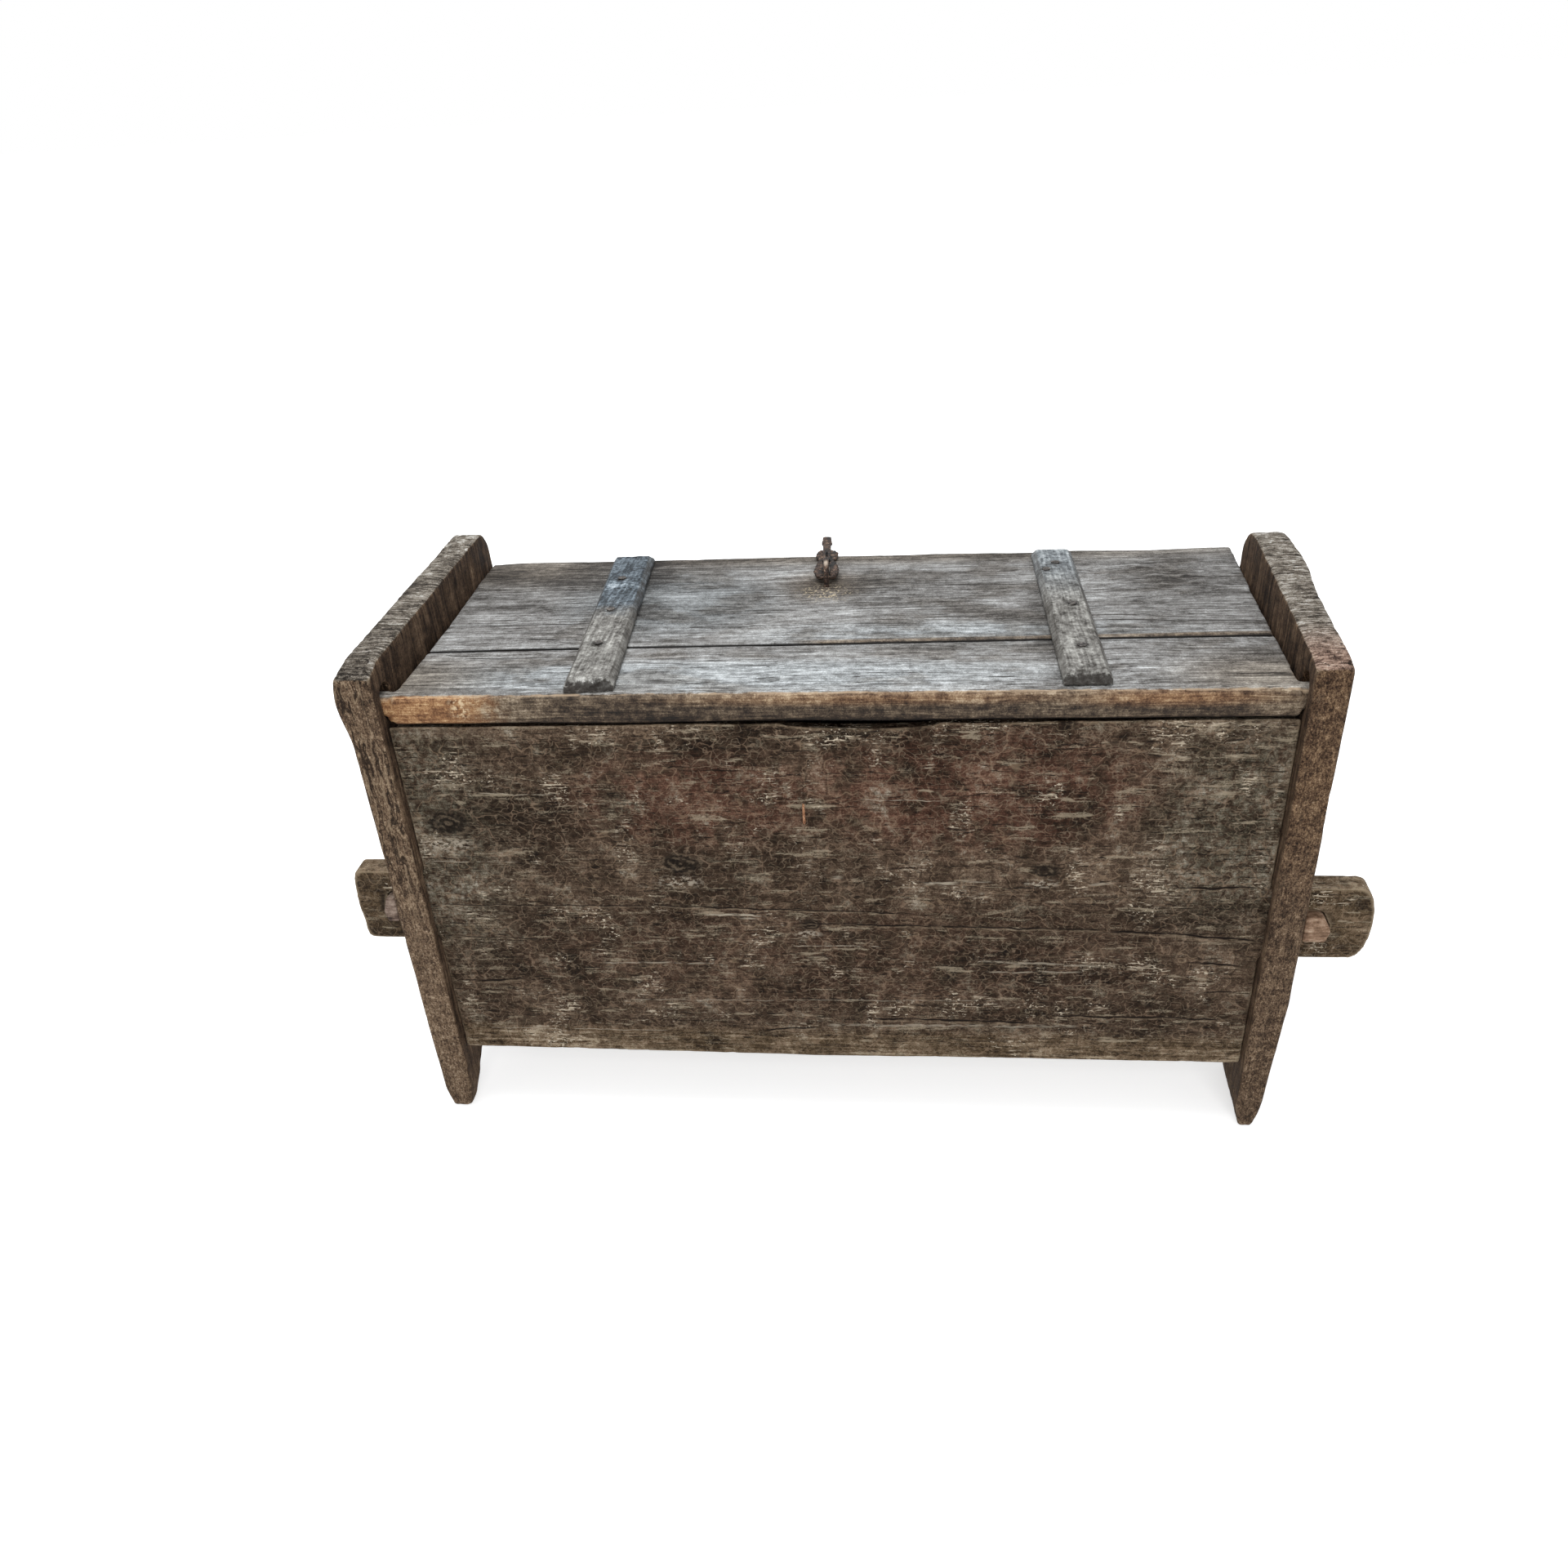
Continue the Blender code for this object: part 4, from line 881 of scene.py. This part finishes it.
def lid_wood():
    """Silver-grey weathered top, tan near edge, dark lines in the grain."""
    p = Paint("weathered_lid_wood")
    bent = p.wavy(0, 0.012, 4)
    streak = p.streaks(0, 260, 9, 5, bent)
    broad = p.streaks(0, 60, 4, 4, bent)
    thread = p.streaks(0, 700, 34, 3, bent)
    mottle = p.noise(90, 5, 0.72)
    patch = p.noise((9, 16, 9), 3, 0.55)
    grit = p.noise(560, 4, 0.75)
    tone = p.tone((streak, 1.05), (broad, 0.35), (thread, 0.85), (mottle, 0.8), (patch, 1), (grit, 1))
    tone = p.lift(tone, 0.03, p.rise(p.y, 0.16, 0.09))
    tone = p.lift(tone, -0.04, p.rise(p.off(p.x, 0.02), 0.22, 0.36))
    ragged = p.rise(mottle, 0.36, 0.60)
    # Paler patches on the top; the wide near-middle one is partly a painted highlight.
    pale = p.on_top((-0.02, 0.045, 0.52, 0.062, 0.9), (0.10, 0.165, 0.28, 0.035, 0.9, 0.9),
                    (-0.30, 0.19, 0.13, 0.10, 0.9, 0.6), (0.27, 0.34, 0.08, 0.07, 0.9, 0.6))
    tone = p.lift(tone, 0.17, pale, p.scaled(ragged, 0.4, 0.7))
    dark = p.on_top((0, 0.432, 0.7, 0.030, 0.9), (-0.42, 0.33, 0.20, 0.14, 0.8, 0.8),
                    (0.10, 0.32, 0.16, 0.08, 0.9, 0.6), (0.46, 0.30, 0.10, 0.11, 0.9, 0.5))
    tone = p.lift(tone, -0.16, dark)
    # Painted shadow: the top darkened beside the battens, right of the left one and left of the right one.
    beside = p.scaled(p.y, 0.0687, p.add(p.x, 0.2634))
    shade = p.times(p.rise(beside, 0.085, 0.030), p.rise(beside, 0, 0.02), p.rise(p.y, 0.12, 0.24))
    beside = p.add(p.x, -0.279)
    other = p.times(p.rise(beside, -0.060, -0.028), p.rise(beside, 0, -0.02), p.rise(p.y, 0.36, 0.22))
    tone = p.lift(tone, -0.20, p.most(shade, other))
    silver = p.ramp(tone, "1d1a18 45413d 75726f 9c9b99 cdcfcf")
    blue = p.ramp(tone, "1b1b1c 414446 727779 9aa0a3 ccd2d5")
    brown = p.ramp(tone, "1b1611 3d352c 675d51 8d8272 bcb1a0")
    bluish = p.most(p.on_top((-0.22, 0.27, 0.16, 0.13), (-0.15, 0.05, 0.5, 0.05),
                             (0.15, 0.16, 0.3, 0.05, 0.9)), 0.25)
    p.colour = p.mix(p.times(bluish, 0.7), silver, blue)
    earthy = p.most(p.on_top((0, 0.43, 0.7, 0.035, 0.9), (0.47, 0.04, 0.10, 0.06, 0.8),
                             (-0.44, 0.40, 0.13, 0.07, 0.8), (-0.49, 0.05, 0.10, 0.06, 0.8)),
                    p.times(p.rise(patch, 0.50, 0.40), 0.35))
    p.coat(brown, earthy, 0.7)
    # Under the hasp: rust stain, and painted shadow of the hasp.
    stain_and_shadow = p.on_top((-0.022, 0.325, 0.055, 0.055, 0.9))
    p.coat(p.ramp(tone, "17110c 352b20 5b4d3d 7f705d a59682"), stain_and_shadow, 0.65)
    wander = p.scaled(p.noise((22, 0, 0), 3), 0.008, -0.004)
    cracks = p.most(*(p.line(start, end, width, wander, p.y) for start, end, width in LID_CRACKS))
    p.coat("16110d", cracks)
    slits = p.streaks(0, 170, 5, 2, bent)
    slits = p.most(p.band(slits, 0.46, 0.020, 0.008), p.rise(slits, 0.34, 0.30))
    slits = p.times(slits, p.rise(p.noise((14, 40, 14), 3, 0.6), 0.42, 0.52))
    p.coat("1c1713", slits, 0.8)
    scuffs = p.on_top((-0.018, 0.295, 0.036, 0.030, 0.9))
    scuffs = p.times(scuffs, p.rise(p.noise(240, 3, 0.6, p.pushed(60, 0.008)), 0.56, 0.60))
    p.coat("b7a98f", scuffs, 0.85)
    low = p.rise(p.nz, 0.90, 0.70)
    near_side = p.most(p.times(low, p.rise(p.y, 0.05, 0.02)),
                       p.times(p.rise(p.scaled(mottle, 0.006, p.y), 0.0115, 0.0090),
                               p.rise(p.nz, -0.6, -0.3)))
    under = p.rise(p.nz, -0.35, -0.75)
    across = p.tone((p.streaks(0, 260, 8, 5, bent), 1), (mottle, 1.5), (thread, 0.8), (grit, 1.2),
                    (patch, 0.8))
    across = p.lift(across, -0.10, p.rise(p.z, 0.588, 0.580))
    across = p.lift(across, 0.12, p.rise(p.x, -0.25, -0.35))
    middle_edge = p.spot((0, 0, 0.60), (0.34, 9, 9), 0.6)
    across = p.lift(across, -0.13, middle_edge)
    # Paler top strip of the near face in the middle: worn wood, partly a painted highlight on the arris.
    across = p.lift(across, 0.20, middle_edge, p.rise(p.z, 0.595, 0.604))
    edge_wood = p.ramp(across, "110c08 2c221a 514437 786957 ab9c87")
    tan_wood = p.ramp(across, "2c190c 5a3b26 865f40 af8860 d2b48d")
    tan = p.rise(p.scaled(mottle, 0.10, p.x), -0.30, -0.37)
    # Tan spots at the top of the near face: tan wood, partly a painted highlight on the arris.
    tan = p.most(tan, p.times(p.spot((0.37, 0, 0.604), (0.11, 9, 0.010), 0.9), 0.65),
                 p.times(p.spot((0.05, 0, 0.606), (0.22, 9, 0.008), 0.9), 0.45))
    edge_wood = p.mix(tan, edge_wood, tan_wood)
    knot_spot = p.spot((-0.412, 0, 0.600), (0.012, 9, 0.016), 0.7)
    edge_wood = p.mix(p.times(knot_spot, p.rise(p.noise(190, 3, 0.7), 0.50, 0.60)), edge_wood, "d3bb98")
    p.coat(edge_wood, near_side)
    # Pale near arris on the top: worn wood, partly a painted highlight.
    arris = p.times(p.rise(p.y, 0.0040, 0.0062), p.rise(p.scaled(mottle, 0.006, p.y), 0.0125, 0.0105))
    arris = p.times(arris, p.rise(p.nz, 0.3, 0.6), p.rise(p.noise((30, 90, 90), 4, 0.7), 0.44, 0.56))
    p.coat("b09a80", arris, 0.6)
    far_side = p.times(p.rise(p.nz, 0.62, 0.30), p.rise(p.y, 0.02, 0.05))
    p.coat(p.ramp(across, "15100c 2c241d 4d4238 75685a a09484"), far_side)
    seam = p.scaled(p.x, -SEAM_SLOPE, p.add(p.y, -SEAM_Y))
    arris = p.times(p.rise(seam, 0, 0.0015), p.rise(seam, 0.013, 0.008), p.rise(p.x, -0.06, 0))
    p.coat(p.ramp(across, "17110b 362b20 5b4c3c 7f6f5b aa9a84"), arris, 0.75)
    p.coat("0b0806", p.rise(p.off(seam), 0.0042, 0.0026))
    # Painted shade: the nose's underside near the hinge nearly black, for the shadow in the closed gap; with
    # the lid open it shows as a dark strip.
    p.coat("0d0907", under, p.rise(p.y, 0.024, 0.012))
    edge = p.kept("edge")
    rim = p.times(p.rise(edge, 0.15, 0.7), p.rise(p.y, 0.06, 0.03), p.rise(mottle, 0.35, 0.6))
    p.coat("b3a28c", rim, 0.65)
    p.crevice_shade("16110d", 0.9)
    height = p.tone((streak, 1), (broad, 0.7), (thread, 0.4), (mottle, 0.3))
    return p.finish(height, p.scaled(mottle, 0.25, 0.52), 0.0020)


def batten_wood():
    """Blue-grey strips, darker at the far end of the left one, stained round the nails."""
    p = Paint("batten_wood_grey")
    bent = p.wavy(1, 0.004, 9)
    streak = p.streaks(1, 260, 16, 5, bent)
    mottle = p.noise(75, 5, 0.7)
    patch = p.noise(26, 4, 0.65)
    pits = p.noise(190, 4, 0.75)
    tone = p.tone((streak, 1), (mottle, 1.1), (patch, 0.7), (pits, 1.1))
    left = p.rise(p.x, 0, -0.1)
    dark = p.times(left, p.rise(p.scaled(patch, 0.12, p.y), 0.25, 0.32))
    tone = p.lift(tone, -0.20, dark)
    band = p.spot((-0.282, 0.300, 0.62), (0.06, 0.014, 9), 0.9)
    tone = p.lift(tone, 0.28, band, p.rise(mottle, 0.40, 0.60))
    tone = p.lift(tone, 0.10, p.rise(p.x, 0.1, 0.2), p.rise(p.y, 0.28, 0.40))
    tone = p.lift(tone, 0.05, left, p.rise(p.y, 0.20, 0.08))
    p.colour = p.ramp(tone, "1d1b18 403d39 6f6d69 989792 c6c5c1")
    bluish = p.most(dark, p.times(p.rise(p.y, 0.20, 0.38), 0.6))
    p.coat(p.ramp(tone, "191b1e 3a4147 69737b 949ea5 c4cbd0"), bluish)
    # Painted shade: the batten's sides darker than its top.
    flank_shade = p.rise(p.off(p.nx), 0.35, 0.75)
    p.coat("4b4742", flank_shade, 0.45)
    for x, y in BATTEN_NAILS:
        ring = p.times(p.spot((x, y, 0.62), (0.0105, 0.0105, 9), 0.7), p.rise(pits, 0.66, 0.46))
        p.coat("1d1916", ring, 0.85)
    p.coat("4a4037", p.rise(p.y, 0.020, 0.006), p.rise(patch, 0.40, 0.60))
    bite = p.times(p.spot((-0.256, 0.010, 0.62), (0.013, 0.016, 9), 0.7), p.rise(mottle, 0.60, 0.42))
    p.coat("17130f", bite, 0.9)
    # Painted shade: the near end face dark below, for the shadow line under the batten's end.
    butt_shade = p.times(p.rise(p.ny, -0.35, -0.75), p.rise(p.scaled(pits, 0.012, p.z), 0.631, 0.627))
    p.coat("1f1a16", butt_shade, 0.85)
    edge = p.kept("edge")
    p.coat("aeb0ae", p.rise(edge, 0.3, 1), 0.35)
    p.crevice_shade("191715")
    height = p.tone((streak, 0.7), (pits, 0.9), (mottle, 0.5))
    return p.finish(height, p.scaled(patch, 0.25, 0.55), 0.0014)


def inside_wood():
    """Unfinished sawn boards of the floor."""
    p = Paint("inside_plank_wood")
    streak = p.streaks(0, 240, 6, 4)
    patch = p.noise(14, 4, 0.6)
    tone = p.tone((streak, 1.3), (patch, 0.9), (p.noise(250, 3, 0.7), 0.5))
    p.colour = p.ramp(tone, "241a12 443627 6f5d47 94816a bba88f")
    return p.finish(streak, p.scaled(patch, 0.2, 0.7), 0.0012)


def peg_wood():
    """Cut ends of the pegs: reddish brown, rings and saw lines; the left ones greyer."""
    p = Paint("peg_end_wood")
    fine = p.noise((60, 60, 330), 5, 0.65)
    patch = p.noise(90, 4, 0.65)
    tone = p.tone((fine, 1.2), (patch, 1), (p.noise(400, 3, 0.7), 0.5))
    ruddy = p.ramp(tone, "2a1b12 564030 866b56 a8907b c8b6a1")
    # The left pegs' ramp; below z 0.32 darker as painted shade under the peg's head.
    dark = p.ramp(p.lift(tone, -0.25, p.rise(p.z, 0.326, 0.318)), "241a16 54433a 7f6d61 a29184 c4b7aa")
    p.colour = p.mix(p.rise(p.x, 0.1, -0.1), ruddy, dark)
    p.crevice_shade("1c1511")
    return p.finish(p.add(fine, patch), p.scaled(patch, 0.2, 0.65), 0.0012)


def rusted_iron():
    """Dark rusted iron, paler on its edges, with a painted highlight on the staple's bow and painted shade
    low in the hasp's loops; the batten nails have weathered grey.
    """
    p = Paint("rusted_forged_iron", 0.5)
    patch = p.noise(140, 4, 0.65)
    grit = p.noise(900, 3, 0.6)
    tone = p.tone((patch, 2), (grit, 1.7))
    p.colour = p.ramp(tone, "060403 150e0a 31221a 5e483a a08a77")
    bent_nail = p.rise(p.y, 0.02, 0.01)
    p.coat(p.ramp(tone, "4a2a17 7d4f31 a97550 c69a77 dcbf9e"), bent_nail, 0.8)
    away = p.off(p.x, HASP_X)
    grey = p.times(p.rise(away, 0.12, 0.16), p.rise(p.y, 0.03, 0.05))
    p.coat(p.ramp(tone, "12100f 272422 413d3a 625e5a 8b8783"), grey, 0.9)
    p.coat("7e6a5b", p.rise(p.kept("edge"), 0.5, 1, 0.15))
    # Painted highlight on the top of the staple's bow.
    bow_highlight = p.times(p.spot((HASP_X, 0.327, 0.643), (0.006, 0.006, 0.005), 0.8), p.rise(patch, 0.40, 0.50))
    # Painted shade low in the hasp's loops, dark between its rods.
    loop_shade = p.times(p.spot((HASP_X, 0.385, 0.62), (0.0125, 0.060, 9), 0.5), p.rise(patch, 0.62, 0.46))
    p.coat("0c0806", loop_shade, p.rise(p.z, 0.630, 0.626))
    p.coat("b9ab9c", bow_highlight)
    p.shader.inputs["Metallic"].default_value = 0.30
    return p.finish(p.add(patch, grit), p.scaled(patch, 0.25, 0.45), 0.0008)


def middle(node):
    """A piece's middle in the chest's own coordinates."""
    obj = frame["nodes"][node]
    corners = np.array([obj.matrix_world @ Vector(corner) for corner in obj.bound_box])
    return (corners.min(axis=0) + corners.max(axis=0)) / 2 - ORIGIN


BATTEN_NAILS = [middle(node)[:2] for node in frame["nodes"] if node.startswith("batten_nail")]
FINISHES = {
    "board_wood": board_wood(), "lid_wood": lid_wood(), "batten_wood": batten_wood(),
    "inside_wood": inside_wood(), "peg_wood": peg_wood(), "iron": rusted_iron(),
    "panel_wood": panel_wood("hewn_front_wood", False),
}
REAR_FINISH = panel_wood("hewn_rear_wood", True)
SLOTS = {part["node"]: part["material_slot"] for part in frame["record"]["subparts"]}

ALONG_X, ALONG_Y, ALONG_Z, EVEN = (1.4, 1.0, 1.0), (1.0, 1.4, 1.0), (1.0, 1.0, 1.4), (1.0, 1.0, 1.0)
# node: voxel, stretch, wear, share of faces kept, shape
PIECES = {
    "rear_panel": (0.0020, ALONG_X, 0.0008, 0.34, rear_panel),
    "front_panel": (0.0026, ALONG_X, 0.0012, 0.28, front_panel),
    "end_board_left": (0.0018, ALONG_Z, 0.0008, 0.32, end_board),
    "end_board_right": (0.0018, ALONG_Z, 0.0009, 0.32, end_board),
    "lid_plank_rear": (0.0016, ALONG_X, 0.0006, 0.40, rear_lid_plank),
    "lid_plank_front": (0.0019, ALONG_X, 0.0006, 0.34, lid_plank),
    "lid_batten_left": (0.0011, ALONG_Y, 0.0007, 0.42, batten),
    "lid_batten_right": (0.0011, ALONG_Y, 0.0007, 0.42, batten),
    "floor_plank_1": (0.0034, ALONG_X, 0.0008, 0.40, plain_wood),
    "floor_plank_2": (0.0034, ALONG_X, 0.0008, 0.40, plain_wood),
    "floor_plank_3": (0.0034, ALONG_X, 0.0008, 0.40, plain_wood),
    "hasp": (0.00060, EVEN, 0.0002, 0.5, hasp_iron),
    "hasp_staple": (0.00060, EVEN, 0.0002, 0.6, forged),
    "rear_panel_nail": (0.0005, EVEN, 0.0001, 1.0, forged),
}
for node in SLOTS:
    if node.startswith("tusk_peg"):
        PIECES[node] = (0.0010, EVEN, 0.0007, 0.5, peg)
    if node.startswith("batten_nail"):
        PIECES[node] = (0.0005, EVEN, 0.0002, 0.5, nail)

for node, (voxel, stretch, wear, share, shape) in PIECES.items():
    made = worn(node, voxel, stretch, wear, shape)
    thinned(made, share)
    made.data.materials.append(REAR_FINISH if node == "rear_panel" else FINISHES[SLOTS[node]])
    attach(made, frame["nodes"][node]["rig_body"])
    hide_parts(node)
    print("piece", node, len(made.data.polygons))


# Camera, floor and light

camera = added("camera", bpy.data.cameras.new("camera"))
camera.data.sensor_width = 36.0
camera.data.lens = 27.738
# The camera's own directions, matched to the photograph's straight edges
RIGHT = (0.99447, 0.089466, -0.055003)
DOWN = (-0.0019377, -0.508010, -0.861349)
FORWARD = (-0.105004, 0.856692, -0.505027)
turn = Matrix((RIGHT, [-part for part in DOWN], [-part for part in FORWARD])).transposed()
camera.matrix_world = Matrix.Translation((0.0703824, -1.4030167, 1.18940)) @ turn.to_4x4()
bpy.context.scene.camera = camera


def plain_floor():
    """A pale floor that reads as white and keeps a soft shadow."""
    mesh = bpy.data.meshes.new("floor")
    mesh.from_pydata([(-60, -60, 0), (60, -60, 0), (60, 60, 0), (-60, 60, 0)], [], [(0, 1, 2, 3)])
    floor = added("floor", mesh)
    material = bpy.data.materials.new("floor_white")
    material.use_nodes = True
    tree = material.node_tree
    tree.nodes.clear()
    place = add_node(tree, "ShaderNodeTexCoord").outputs["Object"]
    away = add_node(tree, "ShaderNodeVectorMath", {0: place}, operation="LENGTH").outputs["Value"]
    strength = add_node(tree, "ShaderNodeMapRange", {0: away, 1: 0.7, 2: 4.0, 3: 0.60, 4: 1.2}).outputs[0]
    glow = add_node(tree, "ShaderNodeEmission", {"Strength": strength}).outputs[0]
    white = add_node(tree, "ShaderNodeBsdfDiffuse", {0: (0.75, 0.75, 0.75, 1.0)}).outputs[0]
    seen = add_node(tree, "ShaderNodeAddShader", {0: white, 1: glow}).outputs[0]
    plain = add_node(tree, "ShaderNodeBsdfDiffuse", {0: (0.80, 0.80, 0.80, 1.0)}).outputs[0]
    ray = add_node(tree, "ShaderNodeLightPath").outputs
    direct = add_node(tree, "ShaderNodeMath", {0: ray["Is Camera Ray"], 1: ray["Is Glossy Ray"]},
                      operation="MAXIMUM")
    both = add_node(tree, "ShaderNodeMixShader", {0: direct.outputs[0], 1: plain, 2: seen}).outputs[0]
    add_node(tree, "ShaderNodeOutputMaterial", {0: both})
    mesh.materials.append(material)


def world_light(strength):
    """An even pale sky; the camera sees it white."""
    world = bpy.data.worlds.new("studio")
    bpy.context.scene.world = world
    world.use_nodes = True
    tree = world.node_tree
    tree.nodes.clear()
    sky = add_node(tree, "ShaderNodeBackground", {0: (0.96, 0.98, 1.0, 1.0), 1: strength}).outputs[0]
    white = add_node(tree, "ShaderNodeBackground", {0: (1.0, 1.0, 1.0, 1.0), 1: 1.0}).outputs[0]
    direct = add_node(tree, "ShaderNodeLightPath").outputs["Is Camera Ray"]
    both = add_node(tree, "ShaderNodeMixShader", {0: direct, 1: sky, 2: white}).outputs[0]
    add_node(tree, "ShaderNodeOutputWorld", {0: both})


def lamp(name, place, target, size, power):
    """A soft square lamp."""
    data = bpy.data.lights.new(name, "AREA")
    data.size = size
    data.energy = power
    obj = added(name, data)
    obj.location = place
    obj.rotation_euler = (Vector(target) - Vector(place)).to_track_quat("-Z", "Y").to_euler()


plain_floor()
world_light(0.55)
lamp("above", (-0.3, 0.5, 3.0), (0.0, 0.0, 0.4), 2.2, 72.0)
lamp("front", (0.4, -3.2, 2.2), (0.0, 0.0, 0.4), 2.2, 60.0)
bpy.context.scene.view_settings.view_transform = "Standard"
